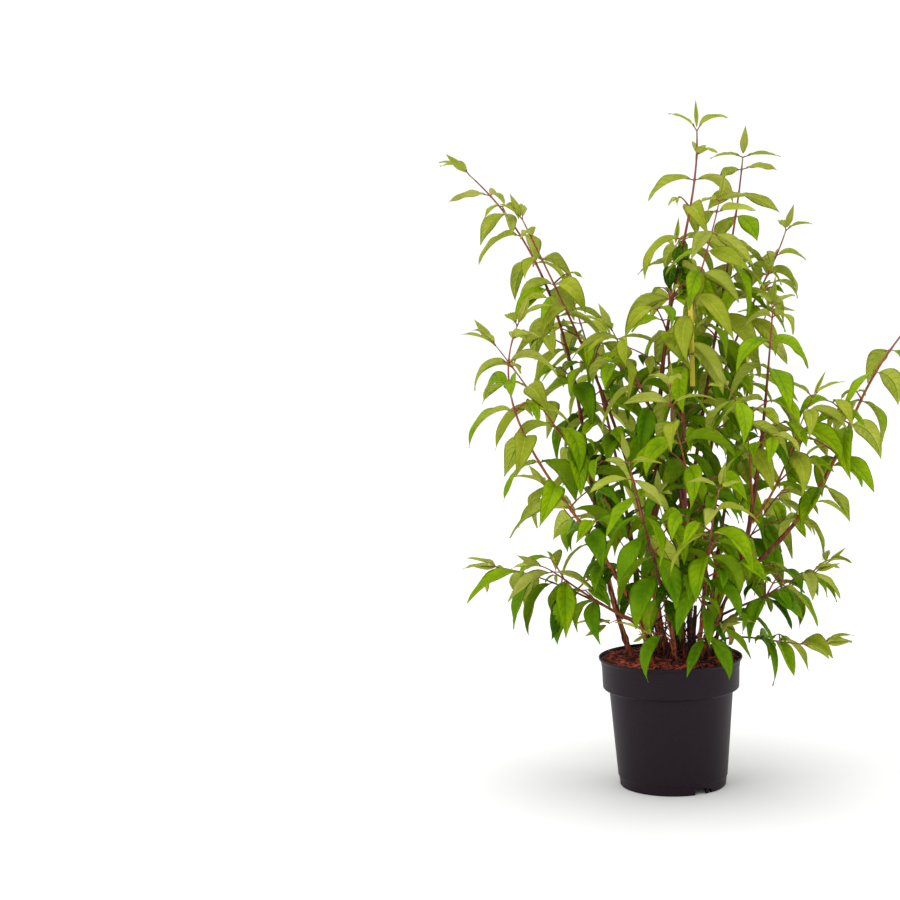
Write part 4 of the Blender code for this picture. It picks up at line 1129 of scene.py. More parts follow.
        shares, swells, veins = self.rows(leaf.length)
        row, column = np.meshgrid(shares, np.array(self.columns), indexing="ij")
        swell = np.broadcast_to(swells[:, None], row.shape)
        flat = np.zeros(row.shape)
        face = place(row, column, swell, flat, 0.0)
        back = place(row, column, swell, flat, 1.0)[1:-1]
        tips = shares[:-1] + (shares[1:] - shares[:-1]) * self.tooth_at
        edge_rows = np.append(np.stack([shares[:-1], tips], -1).ravel(), 1.0)
        teeth = np.append(np.tile([0.0, self.tooth], len(tips)), 0.0)
        teeth[1::2] *= np.where(veins[:-1], 0.0, 1.0)
        still = np.zeros(len(edge_rows))
        rims = [place(edge_rows, np.full(len(edge_rows), c), still, teeth, 0.0) for c in (-1.0, 1.0)]
        points = np.concatenate([face.reshape(-1, 3), back.reshape(-1, 3), *rims])
        buffer.add(points, self.sides(veins, len(edge_rows), slots))


@dataclass
class Pot:
    """The black nursery pot: a beaded lip, a deep band, a tapered body and a foot ring with drain notches."""

    height: float = 0.172
    rim: float = 0.0935
    lip: float = 0.0948
    lip_height: float = 0.004
    band_height: float = 0.042
    band: float = 0.0895
    band_base: float = 0.0885
    body_top: float = 0.0815
    foot: float = 0.070
    foot_step: float = 0.0012
    foot_step_height: float = 0.012
    undercut: float = 0.004
    wall: float = 0.0018
    floor: float = 0.014
    recess: float = 0.011
    edge: float = 0.0015
    hub: float = 0.001
    sharp: float = 32.0
    steps: int = 144
    notch: Triple = (0.012, 0.017, 0.008)
    notch_bearings: tuple[float, ...] = (-59.0, 61.0, 181.0)
    slit: Triple = (0.012, 0.005, 0.006)
    slit_turn: float = 12.0

    def profile(self) -> list[Pair]:
        """Half section: from the floor's centre up the inside, over the lip and down to the underside."""
        base = self.height - self.band_height
        section = [
            (self.hub, self.floor),
            (self.foot - self.wall, self.floor),
            (self.body_top - self.wall, base - self.undercut),
            (self.band - self.wall, base + 2 * self.undercut),
            (self.rim - self.wall / 2, self.height - 2 * self.edge),
            (self.rim, self.height),
            (self.lip, self.height),
            (self.lip, self.height - self.lip_height / 2),
            (self.rim, self.height - self.lip_height),
            (self.band + self.edge, self.height - self.lip_height - 2 * self.edge),
            (self.band_base + self.edge, base + self.edge),
            (self.band_base, base),
            (self.body_top + self.edge, base - self.edge),
            (self.body_top, base - self.undercut),
            (self.foot + 2 * self.foot_step, self.foot_step_height + self.edge),
            (self.foot + self.foot_step, self.foot_step_height),
            (self.foot, 0.0),
            (self.foot - 2 * self.wall, 0.0),
            (self.foot - 2 * self.wall, self.recess),
            (self.hub, self.recess),
        ]
        return rounded(section, self.edge)

    def cut(self, piece: bpy.types.Object) -> None:
        """Cuts the drain notches and the slits beside them through the foot ring."""
        cutters = []
        for bearing in self.notch_bearings:
            for size, turn in ((self.notch, 0.0), (self.slit, self.slit_turn)):
                angle = math.radians(bearing + turn)
                bpy.ops.mesh.primitive_cube_add(size=1.0)
                cutter = bpy.context.active_object
                cutter.scale = (size[0], size[1], 2 * size[2])
                cutter.rotation_euler = (0.0, 0.0, angle)
                cutter.location = polar(self.foot, angle)
                cut = piece.modifiers.new("notch", "BOOLEAN")
                cut.operation = "DIFFERENCE"
                cut.solver = "EXACT"
                cut.object = cutter
                cutters.append(cutter)
        bpy.context.view_layer.update()
        graph = bpy.context.evaluated_depsgraph_get()
        mesh = bpy.data.meshes.new_from_object(piece.evaluated_get(graph))
        piece.modifiers.clear()
        piece.data = mesh
        mesh.shade_smooth()
        mesh.set_sharp_from_angle(angle=math.radians(self.sharp))
        for cutter in cutters:
            bpy.data.objects.remove(cutter)

    def build(self) -> bpy.types.Object:
        """Builds the pot."""
        buffer = Buffer()
        lathe(buffer, self.profile(), self.steps)
        piece = buffer.piece("nursery_pot", [PLASTIC])
        self.cut(piece)
        return settle(piece, "pot_plastic", "pot")


@dataclass
class PottingBark:
    """Bark chips over a dark crumbly bed that fills the pot."""

    top: float = 0.1642
    reach: float = 0.0914
    floor: float = 0.0146
    wall_gap: float = 0.0008
    rings: int = 26
    spokes: int = 96
    lumps: float = 0.0022
    lump_waves: int = 14
    lump_pitch: Pair = (60.0, 320.0)
    lump_turn: float = 6.3
    lump_calm: float = 5.0
    rim_rise: float = 0.0032
    chips: int = 2400
    chip_margin: float = 0.0085
    chip_lift: float = 0.0036
    chip_length: Pair = (0.006, 0.021)
    chip_width: Pair = (0.08, 0.27)
    chip_thick: Pair = (0.0008, 0.0022)
    chip_outline: tuple[Pair, ...] = (
        (-0.5, -0.2), (-0.22, -0.5), (0.25, -0.45), (0.5, 0.05), (0.2, 0.5), (-0.3, 0.42),
    )
    chip_levels: tuple[Pair, ...] = ((1.0, -0.5), (1.06, 0.0), (0.9, 0.5))
    chip_tear: Triple = (0.1, 0.14, 0.2)
    chip_weights: tuple[int, ...] = (4, 4, 2)
    tilt: float = 24.0
    sharp: float = 30.0

    def rise(self, far: float) -> float:
        """How far the filling climbs toward the wall, at a distance from the pot's axis."""
        return self.rim_rise * (far / self.reach) ** 4

    def bed(self, buffer: Buffer, pot: Pot, rng: random.Random) -> None:
        """Adds the lumpy bed down to the pot's floor."""
        turn = self.lump_turn
        waves = [
            (rng.uniform(*self.lump_pitch), rng.uniform(0, turn), rng.uniform(0, turn))
            for _ in range(self.lump_waves)
        ]
        profile = [(self.reach * (k + 1) / self.rings, self.top) for k in range(self.rings)]
        profile.append((pot.body_top - pot.wall - self.wall_gap, pot.height - pot.band_height - pot.undercut))
        profile.append((pot.foot - pot.wall - self.wall_gap, self.floor))
        lathe(buffer, profile, self.spokes, 1)
        for row in buffer.points[-1][: self.rings * self.spokes]:
            wave = sum(math.sin(k * (row[0] * math.cos(a) + row[1] * math.sin(a)) + b) for k, a, b in waves)
            row[2] += self.lumps * wave / self.lump_calm + self.rise(math.hypot(row[0], row[1]))

    def chip(self, buffer: Buffer, centre: Vector, rng: random.Random) -> None:
        """Adds one split chip: a six-cornered sliver with a torn outline."""
        along, across, above = self.chip_tear
        length = rng.uniform(*self.chip_length)
        width = length * rng.uniform(*self.chip_width)
        thick = rng.uniform(*self.chip_thick)
        shape = [
            (length * (x + rng.uniform(-along, along)), width * (y + rng.uniform(-across, across)))
            for x, y in self.chip_outline
        ]
        points = [
            Vector((x * k, y * k, z * thick + rng.uniform(-above, above) * thick))
            for k, z in self.chip_levels
            for x, y in shape
        ]
        tilt = math.radians(self.tilt)
        turn = Matrix.Rotation(rng.uniform(0, 2 * math.pi), 3, "Z")
        for axis in "XY":
            turn = turn @ Matrix.Rotation(rng.uniform(-tilt, tilt), 3, axis)
        sides = len(shape)
        walls = grid_faces(len(self.chip_levels), sides, closed=True)[:, ::-1]
        low = np.arange(sides)
        slot = rng.choices(range(len(CHIPS)), self.chip_weights)[0]
        buffer.add(
            np.array([centre + turn @ p for p in points]),
            [(walls, slot), (low[None, ::-1], slot), (low[None] + 2 * sides, slot)],
        )

    def build(self, pot: Pot) -> bpy.types.Object:
        """Builds the bed and its chips inside a pot."""
        rng = random.Random("bark chips")
        buffer = Buffer()
        self.bed(buffer, pot, rng)
        for _ in range(self.chips):
            far = (self.reach - self.chip_margin) * math.sqrt(rng.random())
            bearing = rng.uniform(0, 2 * math.pi)
            high = self.top + self.rise(far) + rng.uniform(0.0, self.chip_lift)
            self.chip(buffer, polar(far, bearing, high), rng)
        piece = buffer.piece("bark_chips", CHIPS, sharp=self.sharp)
        return settle(piece, "potting_bark", "potting_bark")


@dataclass
class StemBark:
    """Bark relief of a stem: swollen nodes, ridges that run along it, and peeling strips on old wood."""

    ring_step: float = 0.0035
    sides: int = 14
    thin_sides: int = 9
    sink: float = 0.006
    swell: float = 0.34
    swell_reach: float = 0.0028
    ridge: tuple[float, ...] = (0.1, 0.06, 0.03, 0.025, 0.02)
    ridge_waves: tuple[int, ...] = (2, 3, 5, 6)
    ridge_drift: float = 60.0
    pulse: Pair = (0.6, 0.4)
    pulse_pitch: Pair = (90.0, 260.0)
    strips: int = 12
    strip_zone: Pair = (0.012, 0.16)
    strip_length: Pair = (0.012, 0.04)
    strip_curl: Pair = (0.02, 0.11)
    strip_lift: float = 1.04
    strip_width: float = 0.0011
    strip_taper: Pair = (0.12, 0.8)
    strip_flat: float = 0.35
    strip_steps: int = 8
    strip_sides: int = 6

    def add(
        self, buffer: Buffer, growth: Growth, shoot: Shoot, line: Course, span: Pair,
        nodes: Sequence[float], barks: Sequence[tuple[float, Bark]], order: Sequence[Bark], sides: int,
    ) -> None:
        """Adds a stretch of a shoot's stem.

        Args:
            buffer: Where the stem goes.
            growth: The rule that gives the radius.
            shoot: The shoot.
            line: Its course.
            span: Arc lengths of its ends.
            nodes: Arc lengths of its swollen nodes.
            barks: Arc lengths up to which each bark reaches, with that bark.
            order: Barks in the order of the finish numbers.
            sides: Points round the stem.
        """
        rng = random.Random(f"bark of {shoot.name}")
        count = max(4, round((span[1] - span[0]) / self.ring_step))
        runs = np.linspace(span[0], span[1], count + 1)
        path = np.array([line.at(r) for r in runs])
        radii = np.array([growth.radius(shoot, line, r) for r in runs])
        if shoot.parent is None and span[0] == 0.0:
            path[0, 2] = growth.soil_top - self.sink
        for node in nodes:
            radii = radii * (1.0 + self.swell * np.exp(-(((runs - node) / self.swell_reach) ** 2)))
        kinds = [next((bark for reach, bark in barks if run <= reach), barks[-1][1]) for run in runs[1:]]
        ridge = dict(zip(Bark, self.ridge))
        depth = np.array([ridge[kind] for kind in kinds[:1] + kinds])
        turn = np.arange(sides) * (2 * math.pi / sides)
        relief = np.ones((count + 1, sides))
        for waves in self.ridge_waves:
            drift = rng.uniform(-self.ridge_drift, self.ridge_drift)
            phase = rng.uniform(0, 2 * math.pi)
            pulse = self.pulse[0] + self.pulse[1] * np.sin(runs * rng.uniform(*self.pulse_pitch) + phase)
            wave = np.sin(waves * turn[None] + (runs * drift)[:, None] + phase)
            relief += depth[:, None] * pulse[:, None] * wave
        tube(buffer, path, radii, sides, np.array([order.index(kind) for kind in kinds]), relief)

    def peel(self, buffer: Buffer, growth: Growth, shoot: Shoot, line: Course, slot: int) -> None:
        """Adds strips of bark that peel off an old stem near its foot."""
        rng = random.Random(f"peel of {shoot.name}")
        shares = [k / self.strip_steps for k in range(self.strip_steps + 1)]
        start, span = self.strip_taper
        widths = np.array([self.strip_width * math.sin(math.pi * (start + span * t)) for t in shares])
        for _ in range(self.strips):
            length = rng.uniform(*self.strip_length)
            low = rng.uniform(*self.strip_zone)
            way = line.way(low)
            aside = way.cross(Vector((0.0, 1.0, 0.0))).normalized()
            out = Matrix.Rotation(rng.uniform(0, 2 * math.pi), 3, way) @ aside
            curl = rng.uniform(*self.strip_curl) * length
            path = []
            for t in shares:
                run = low + length * t
                lift = growth.radius(shoot, line, run) * self.strip_lift + curl * t**3
                path.append(line.at(run) + out * lift)
            tube(buffer, np.array(path), widths, self.strip_sides, slot, flat=self.strip_flat)


@dataclass
class Label:
    """Blank strap label: a loop round a leaning stem, its two strands joined below."""

    shoot: str = "red_middle"
    height: float = 0.622
    search_step: float = 0.0005
    width: float = 0.0065
    thick: float = 0.0007
    half: float = 0.0024
    top: float = 0.017
    side: float = 0.017
    apex: float = 0.027
    tail: float = 0.092
    spacing: float = 0.55
    arc_points: int = 13
    bend: float = 0.006
    bend_steps: int = 6
    bevel: float = 0.42
    crown: float = 0.12
    sharp: float = 35.0

    def path(self) -> list[Pair]:
        """Middle line of the strap, across and up, from one strand's foot round the loop to the other's."""
        turns = np.linspace(0, math.pi, self.arc_points)
        arc = [(self.half * math.cos(a), self.top + self.half * math.sin(a)) for a in turns]
        apart = self.thick * self.spacing
        right = [(apart, -self.tail), (apart, -self.apex), (self.half, -self.side)]
        left = [(-x, y) for x, y in reversed(right)]
        return right + arc + left

    def section(self) -> list[Pair]:
        """Corners of the strap's section, across its width and through it."""
        upper = [(-0.5, 0.0), (-self.bevel, 0.5), (0.0, 0.5 + self.crown), (self.bevel, 0.5)]
        return upper + [(0.5, 0.0), (self.bevel, -0.5), (0.0, -0.5), (-self.bevel, -0.5)]

    def build(self, lines: dict[str, Course]) -> bpy.types.Object:
        """Builds the strap on its shoot's course."""
        line = lines[self.shoot]
        run = 0.0
        while line.at(run).z < self.height:
            run += self.search_step
        way = line.way(run)
        lean = Vector((way.x, way.y, 0.0)).normalized()
        across = UP.cross(lean)
        middle = np.array(rounded(self.path(), self.bend, self.bend_steps))
        ways = np.gradient(middle, axis=0)
        ways /= np.linalg.norm(ways, axis=1)[:, None]
        normals = np.stack([ways[:, 1], -ways[:, 0]], -1)
        section = self.section()
        rows = []
        for point, normal in zip(middle, normals):
            for wide, deep in section:
                flat = point + normal * (deep * self.thick)
                rows.append(line.at(run) + across * flat[0] + UP * flat[1] + lean * (wide * self.width))
        sides = len(section)
        ring, last = np.arange(sides)[None], (len(middle) - 1) * sides
        buffer = Buffer()
        buffer.add(
            np.array(rows),
            [(grid_faces(len(middle), sides, closed=True), 0), (ring, 0), (last + ring[:, ::-1], 0)],
        )
        return settle(buffer.piece("blank_label", [YELLOW], sharp=self.sharp), "label_yellow", "label")


@dataclass
class Crown:
    """All the shoots: bare stems, leafy stretches, side twigs, sprouts, stalks, buds and blades."""

    growth: Growth = field(default_factory=Growth)
    blade: Blade = field(default_factory=Blade)
    bark: StemBark = field(default_factory=StemBark)
    old_nodes: Pair = (0.03, 0.052)
    old_reach: float = 0.15
    red_from: float = 0.62
    green_from: float = 0.97
    red_twigs: float = 0.5
    red_stalks: float = 0.35
    twig_steps: int = 6
    twig_sides: int = 7
    sprout_chance: float = 0.34
    sprout_lift: Pair = (25.0, 60.0)
    sprout_length: Pair = (0.012, 0.03)
    sprout_leaf: Pair = (0.2, 0.42)
    sprout_rise: float = 0.002
    stalk_radius: Pair = (0.0009, 0.0006)
    stalk_steps: int = 24
    stalk_share: float = 1.5
    stalk_sides: int = 6
    bud_width: float = 1.3
    youth: float = 0.3
    twig_youth: float = 0.15
    young_chance: float = 0.7
    tone_spread: float = 0.12
    # Light below which a leaf takes the deep or the mid green, as painted shade
    tone_limits: tuple[tuple[Tone, float], ...] = ((Tone.DEEP, 0.24), (Tone.MID, 0.52))
    olive_height: float = 0.72
    olive_floor: float = 0.08
    olive_power: float = 1.8
    # Painted light that lightens the greens with height, and painted shade that darkens low leaves near the
    # axis out to heart_reach
    lift: float = 0.58
    heart: float = 0.36
    heart_reach: float = 0.2
    open_foot: Pair = (0.11, 0.3)

    def __post_init__(self) -> None:
        """Works out every shoot's course."""
        self.solids = Solids(self.growth)
        self.lines: dict[str, Course] = {}
        for shoot in SHOOTS:
            if shoot.parent is None:
                foot = Vector((*shoot.foot, self.growth.soil_top + GAP))
            else:
                parent = self.lines[shoot.parent]
                foot = parent.at(parent.length * shoot.at)
            self.lines[shoot.name] = Course.of_shoot(shoot, foot)

    def tone(self, leaf: Leaf, young: float, rng: random.Random) -> Tone:
        """Green of a leaf by its light: painted shade deep in the heart, painted light outside, olive at the
        top, pale at a bud.
        """
        if young > self.youth:
            return Tone.YOUNG if rng.random() < self.young_chance else Tone.OLIVE
        height = max(0.0, leaf.root.z - self.growth.pot_top) / self.olive_height
        depth = max(0.0, 1.0 - math.hypot(leaf.root.x, leaf.root.y) / self.heart_reach)
        light = self.solids.light(leaf) + rng.uniform(-self.tone_spread, self.tone_spread)
        # Painted light with height, painted shade on low leaves near the axis
        light += self.lift * height - self.heart * depth * max(0.0, 1.0 - height)
        for tone, limit in self.tone_limits:
            if light < limit:
                return tone
        chance = self.olive_floor + (1.0 - self.olive_floor) * height**self.olive_power
        return Tone.OLIVE if rng.random() < chance else Tone.LIT_GREEN

    def stalk(self, buffer: Buffer, leaf: Leaf, slot: int) -> None:
        """Adds the short stalk from a leaf's root to its blade."""
        spine = self.growth.spine(leaf, self.stalk_steps)
        share = (self.growth.petiole * self.stalk_share) / (leaf.length + self.growth.petiole)
        last = max(3, round(share * self.stalk_steps) + 2)
        path = np.array([leaf.root] + [spine[k] for k in range(1, last)])
        radii = np.linspace(*self.stalk_radius, len(path))
        tube(buffer, path, radii, self.stalk_sides, slot)

    def bud(self, buffer: Buffer, leaf: Leaf, rng: random.Random) -> None:
        """Adds the spear of two clasped leaves that ends a shoot."""
        clasp = replace(
            self.blade, fold=(0.9, 1.0), cup=(0.35, 0.4), twist=0.05, bend=0.0, wave=0.0, quilt=0.0001
        )
        for side in (0.0, math.pi):
            half = replace(leaf, roll=leaf.roll + side, width=leaf.width * self.bud_width)
            clasp.add(buffer, self.growth, half, leaf_slots(Tone.YOUNG), rng)

    def bare_stem(self, shoot: Shoot) -> bpy.types.Object:
        """Builds a shoot's bare stem."""
        line = self.lines[shoot.name]
        split = line.length * shoot.bare
        kind = SHOOT_BARKS.get(shoot.name, DEFAULT_BARKS)[0]
        nodes = np.arange(self.old_nodes[0], split, self.old_nodes[1])
        buffer = Buffer()
        order = [Bark.OLD, kind]
        old = self.old_reach if shoot.parent is None else 0.0
        barks = [(old, Bark.OLD), (split, kind)]
        self.bark.add(buffer, self.growth, shoot, line, (0.0, split), nodes, barks, order, self.bark.sides)
        if shoot.parent is None:
            self.bark.peel(buffer, self.growth, shoot, line, len(order))
        finishes = [BARKS[kind] for kind in order] + [PEEL]
        return settle(buffer.piece(f"{shoot.name}_bark", finishes), "stem_bark", f"{shoot.name}_stem")

    def free(self, leaf: Leaf) -> Leaf | None:
        """A leaf that the solids lack, turned to touch nothing; none near the open foot of the plant."""
        reach, height = self.open_foot
        open_here = leaf.root.z < height and math.hypot(leaf.root.x, leaf.root.y) < reach
        return None if open_here else self.solids.placed(leaf)

    def sprouts(self, shoot: Shoot, runs: Sequence[float], rng: random.Random) -> list[Twig]:
        """Short axillary sprouts at some of a shoot's nodes."""
        line = self.lines[shoot.name]
        found = []
        for run in runs[:-2]:
            if rng.random() < self.sprout_chance:
                heading = rng.uniform(0, 2 * math.pi)
                lift = math.radians(rng.uniform(*self.sprout_lift))
                length = rng.uniform(*self.sprout_length)
                size = shoot.leaf * rng.uniform(*self.sprout_leaf)
                found.append(Twig(line.at(run + self.sprout_rise), heading, lift, length, 1, size))
        return found

    def leafy(self, shoot: Shoot) -> None:
        """Builds a shoot's leafy stretch: stem and twigs in one piece, leaves in another."""
        node = f"{shoot.name}_leaves"
        line = self.lines[shoot.name]
        start = line.length * shoot.bare + GAP if shoot.bare > 0 else self.solids.start(shoot, line)
        rng = random.Random(shoot.seed)
        leaves, twigs, bud, runs = self.growth.grow(shoot, line, start, rng)
        own = random.Random(f"dress of {shoot.name}")
        wood, green = Buffer(), Buffer()
        order = list(Bark)
        lower = SHOOT_BARKS.get(shoot.name, DEFAULT_BARKS)[1]
        end = line.length - self.growth.tip_back
        reach = line.length - start
        barks = [
            (start + reach * self.red_from, lower),
            (start + reach * self.green_from, Bark.RED),
            (line.length, Bark.GREEN),
        ]
        foot = start if shoot.bare > 0 else 0.0
        self.bark.add(
            wood, self.growth, shoot, line, (foot, end), runs[:-1], barks, order, self.bark.thin_sides
        )
        red, tan = order.index(Bark.RED), order.index(lower)
        shown: list[tuple[Leaf, float]] = []
        for leaf, young in leaves:
            stood = self.solids.standing(node, leaf) or self.free(leaf)
            if stood:
                shown.append((stood, young))
        extra = self.sprouts(shoot, runs, own)
        for twig in twigs + extra:
            way = Course.of_twig(twig, self.growth.twig_bend)
            small = self.growth.small_leaves(twig, way, own if twig in extra else rng)
            steps = self.twig_steps
            path = np.array([way.at(way.length * k / steps) for k in range(steps + 1)])
            radii = np.linspace(self.growth.twig_root, self.growth.twig_tip, steps + 1)
            stands = twig not in extra and self.solids.has_twig(node, way.at(way.length))
            placed = []
            for leaf in small:
                stood = (self.solids.standing(node, leaf) if stands else None) or self.free(leaf)
                if stood:
                    placed.append((stood, self.twig_youth))
            if placed or stands:
                tube(wood, path, radii, self.twig_sides, red if own.random() < self.red_twigs else tan)
                shown.extend(placed)
        for leaf, young in shown:
            tone = self.tone(leaf, young, own)
            reddish = own.random() < self.red_stalks or young > self.youth
            self.stalk(wood, leaf, red if reddish else order.index(Bark.GREEN))
            self.blade.add(green, self.growth, leaf, leaf_slots(tone), own)
        self.bud(green, bud, own)
        wooden = wood.piece(f"{shoot.name}_twigs", [BARKS[kind] for kind in order])
        settle(wooden, "stem_bark", node)
        settle(green.piece(f"{shoot.name}_foliage", LEAF_FINISHES), "leaf_green", node)

    def build(self) -> None:
        """Builds every shoot."""
        for shoot in SHOOTS:
            if shoot.bare > 0:
                self.bare_stem(shoot)
        for shoot in SHOOTS:
            if shoot.bare < 1:
                self.leafy(shoot)


@dataclass
class OddLeaves:
    """Leaves unlike the rest: dark curled ones high on the middle shoot, a withered one, a fallen one."""

    shoot: str = "centre"
    shares: tuple[float, ...] = (0.735, 0.75, 0.765, 0.785, 0.8)
    turn: float = 200.0
    turn_spread: float = 35.0
    rise: Pair = (-30.0, 10.0)
    fall: Pair = (120.0, 175.0)
    roll: float = 1.2
    length: Pair = (0.03, 0.042)
    width: Pair = (0.42, 0.55)
    withered: Leaf = Leaf(
        root=Vector((0.074, -0.05, 0.226)), heading=math.radians(-60), rise=0.2, fall=2.3, roll=0.9,
        length=0.034, width=0.0102,
    )
    fallen: Leaf = Leaf(
        root=Vector((0.046, 0.036, 0.1722)), heading=math.radians(-12), rise=0.35, fall=0.3, roll=0.25,
        length=0.036, width=0.018,
    )

    def build(self, crown: Crown) -> None:
        """Builds the curled leaves on their shoot's course, then the withered and the fallen leaf.

        Args:
            crown: The crown that they belong to.
        """
        rng = random.Random("odd leaves")
        line = crown.lines[self.shoot]
        curled = replace(crown.blade, fold=(0.5, 0.8), cup=(0.1, 0.2), twist=1.4, bend=0.2, wave=0.0035)
        green, dry, fallen = Buffer(), Buffer(), Buffer()
        for count, share in enumerate(self.shares):
            length = rng.uniform(*self.length)
            leaf = Leaf(
                line.at(line.length * share),
                math.radians(self.turn * count + rng.uniform(-self.turn_spread, self.turn_spread)),
                math.radians(rng.uniform(*self.rise)),
                math.radians(rng.uniform(*self.fall)),
                rng.uniform(-self.roll, self.roll),
                length,
                length * rng.uniform(*self.width),
            )
            crown.stalk(green, leaf, LEAF_FINISHES.index(RIB_DEEP))
            curled.add(green, crown.growth, leaf, leaf_slots(Tone.DEEP), rng)
        crown.stalk(dry, self.withered, 0)
        curled.add(dry, crown.growth, self.withered, (0, 0, 0), rng)
        crown.blade.add(fallen, crown.growth, self.fallen, (0, 0, 0), rng)
        settle(green.piece("curled_leaves", LEAF_FINISHES), "leaf_green")
        settle(dry.piece("withered_leaf", [WITHERED]), "leaf_green")
        settle(fallen.piece("fallen_leaf", [FALLEN]), "leaf_green")


@dataclass
class DeadTwigs:
    """Dead stubs and fine dead twiglets between the feet of the stems."""

    count: int = 30
    reach: float = 0.048
    sink: float = 0.004
    lean: float = 0.5
    length: Pair = (0.04, 0.1)
    radius: Pair = (0.0015, 0.0007)
    steps: int = 6
    sides: int = 6
    crook: float = 0.22
    forks: int = 2
    fork_turn: float = 1.1
    fork_length: Pair = (0.25, 0.5)
    fork_size: float = 0.7
    stubs: tuple[Triple, ...] = (
        (0.046, -0.012, 0.085),
        (0.054, 0.006, 0.066),
        (0.030, 0.022, 0.074),
        (-0.026, -0.012, 0.052),
        (0.012, 0.012, 0.092),
    )
    stub_radius: float = 0.0023
    stub_flare: float = 1.2
    stub_lean: Pair = (3.0, 0.1)
    stub_steps: int = 8
    stub_sides: int = 10
    stub_nodes: tuple[int, ...] = (3, 6)
    stub_swell: float = 1.3
    stub_relief: float = 0.1
    stub_ripple: Pair = (3.0, 1.9)
    side_length: float = 0.03
    side_size: float = 0.8
    side_at: float = 0.7
    side_rise: float = 0.6

    def build(self, growth: Growth) -> bpy.types.Object:
        """Builds the twiglets and the stubs from the potting bark upward."""
        rng = random.Random("dead twigs")
        buffer = Buffer()
        base = growth.soil_top - self.sink
        for _ in range(self.count):
            bearing = rng.uniform(0, 2 * math.pi)
            foot = polar(self.reach * math.sqrt(rng.random()), bearing, base)
            leans = [rng.uniform(-self.lean, self.lean) for _ in range(2)]
            way = Vector((*leans, 1.0)).normalized()
            self.twig(buffer, foot, way, rng.uniform(*self.length), 1.0, self.forks, rng)
        for x, y, length in self.stubs:
            self.stub(buffer, (x, y), base, length, rng)
        return settle(buffer.piece("dead_twigs", [DEAD]), "stem_bark")

    def stub(self, buffer: Buffer, place: Pair, base: float, length: float, rng: random.Random) -> None:
        """Adds one cut stub with a twiglet at its side."""
        splay, spread = self.stub_lean
        leans = [c * splay + rng.uniform(-spread, spread) for c in place]
        foot, lean = Vector((*place, base)), Vector((*leans, 1.0)).normalized()
        count = self.stub_steps + 1
        path = np.array([foot + lean * (length * k / self.stub_steps) for k in range(count)])
        radii = np.linspace(self.stub_radius * self.stub_flare, self.stub_radius, count)
        radii[list(self.stub_nodes)] *= self.stub_swell
        along, across = self.stub_ripple
        turn = along * np.arange(count)[:, None] + across * np.arange(self.stub_sides)[None]
        tube(buffer, path, radii, self.stub_sides, 0, 1.0 + self.stub_relief * np.sin(turn))
        side, start = Vector((lean.y, -lean.x, self.side_rise)), foot + lean * (length * self.side_at)
        self.twig(buffer, start, side, self.side_length, self.side_size, 1, rng)

    def twig(
        self, buffer: Buffer, foot: Vector, way: Vector, length: float, size: float, forks: int,
        rng: random.Random,
    ) -> None:
        """Adds one crooked twiglet and its forks."""
        path = [foot]
        for _ in range(self.steps):
            way = (way + Vector([rng.uniform(-self.crook, self.crook) for _ in range(3)])).normalized()
            path.append(path[-1] + way * (length / self.steps))
        radii = np.linspace(*self.radius, self.steps + 1) * size
        tube(buffer, np.array(path), radii, self.sides, 0)
        for _ in range(forks):
            start = rng.randrange(2, self.steps)
            turn = self.fork_turn
            side = (way + Vector([rng.uniform(-turn, turn) for _ in range(3)])).normalized()
            fork = length * rng.uniform(*self.fork_length)
            self.twig(buffer, path[start], side, fork, size * self.fork_size, 0, rng)


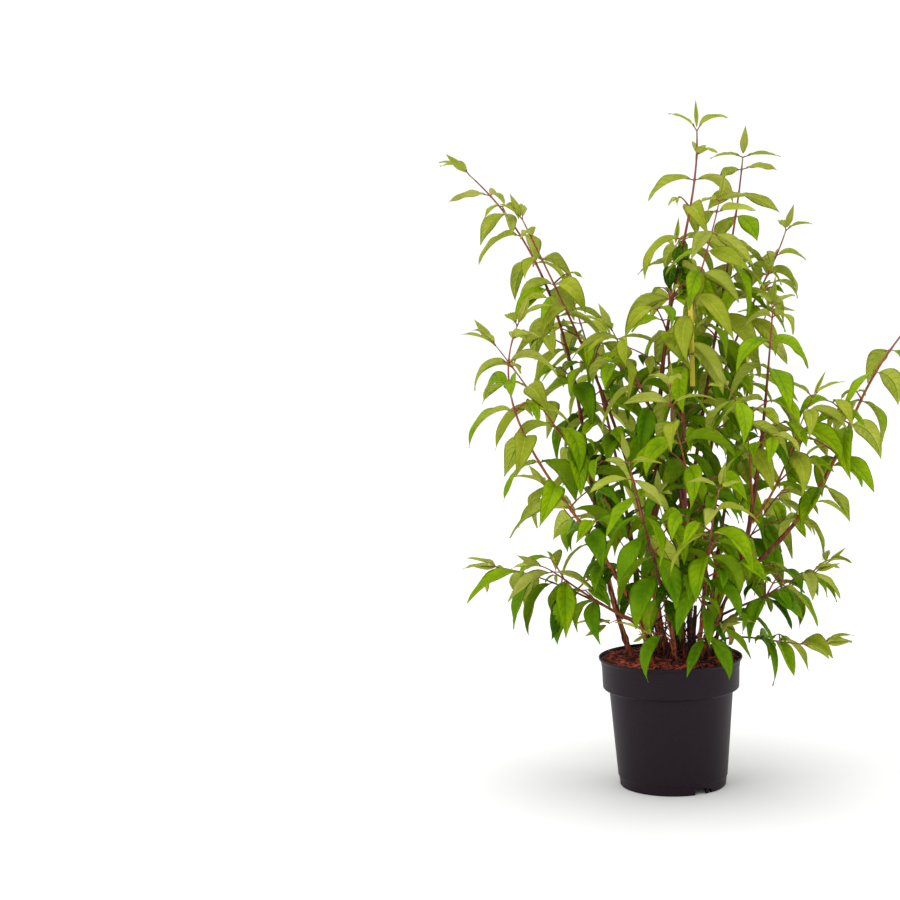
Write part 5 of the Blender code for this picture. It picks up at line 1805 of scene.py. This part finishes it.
@dataclass
class Studio:
    """Pale floor, soft lights and the camera at the photograph's place."""

    camera: Triple = (0.0, -2.401, 0.648)
    yaw: float = -6.78
    pitch: float = -4.64
    roll: float = -1.81
    lens: float = 72.8
    film: float = 36.0
    sky: float = 1.06
    sun: float = 1.0
    sun_spread: float = 50.0
    key_place: Triple = (-1.8, -2.4, 2.6)
    key_size: float = 1.6
    key_power: float = 14.0
    middle: Triple = (0.0, 0.0, 0.45)
    floor_size: float = 14.0

    def floor(self) -> None:
        """Adds the floor."""
        bpy.ops.mesh.primitive_plane_add(size=self.floor_size)
        floor = bpy.context.active_object
        floor.name = "studio_floor"
        floor.data.materials.append(FLOOR.material())

    def key(self) -> None:
        """Adds one soft square light that faces the crown."""
        data = bpy.data.lights.new("key", "AREA")
        data.size = self.key_size
        data.energy = self.key_power
        lamp = bpy.data.objects.new("key", data)
        lamp.location = self.key_place
        aim = Vector(self.middle) - lamp.location
        lamp.rotation_mode = "QUATERNION"
        lamp.rotation_quaternion = aim.to_track_quat("-Z", "Y")
        bpy.context.scene.collection.objects.link(lamp)

    def overhead(self) -> None:
        """Adds the wide soft light from above, which gives the shadow round the pot."""
        data = bpy.data.lights.new("overhead", "SUN")
        data.energy = self.sun
        data.angle = math.radians(self.sun_spread)
        bpy.context.scene.collection.objects.link(bpy.data.objects.new("overhead", data))

    def aim(self) -> None:
        """Adds the camera by its yaw, pitch and roll."""
        yaw, pitch, roll = (math.radians(a) for a in (self.yaw, self.pitch, self.roll))
        ahead = Vector((math.sin(yaw) * math.cos(pitch), math.cos(yaw) * math.cos(pitch), math.sin(pitch)))
        right = Vector((math.cos(yaw), -math.sin(yaw), 0.0))
        above = right.cross(ahead)
        turned = right * math.cos(roll) + above * math.sin(roll)
        upright = above * math.cos(roll) - right * math.sin(roll)
        data = bpy.data.cameras.new("camera")
        data.lens = self.lens
        data.sensor_width = self.film
        data.dof.use_dof = False
        camera = bpy.data.objects.new("camera", data)
        camera.matrix_world = Matrix((turned, upright, -ahead)).transposed().to_4x4()
        camera.location = self.camera
        bpy.context.scene.collection.objects.link(camera)
        bpy.context.scene.camera = camera

    def build(self) -> None:
        """Builds the studio."""
        scene = bpy.context.scene
        scene.view_settings.view_transform = "Standard"
        world = bpy.data.worlds.new("studio")
        world.use_nodes = True
        sky = world.node_tree.nodes["Background"]
        sky.inputs["Color"].default_value = (1.0, 1.0, 1.0, 1.0)
        sky.inputs["Strength"].default_value = self.sky
        scene.world = world
        self.floor()
        self.overhead()
        self.key()
        self.aim()


def main() -> None:
    """Builds the studio and the shrub."""
    logging.basicConfig(level=logging.INFO, format="%(message)s")
    Studio().build()
    pot = Pot()
    pot.build()
    PottingBark().build(pot)
    crown = Crown()
    crown.build()
    Label().build(crown.lines)
    OddLeaves().build(crown)
    DeadTwigs().build(crown.growth)


if __name__ == "__main__":
    main()
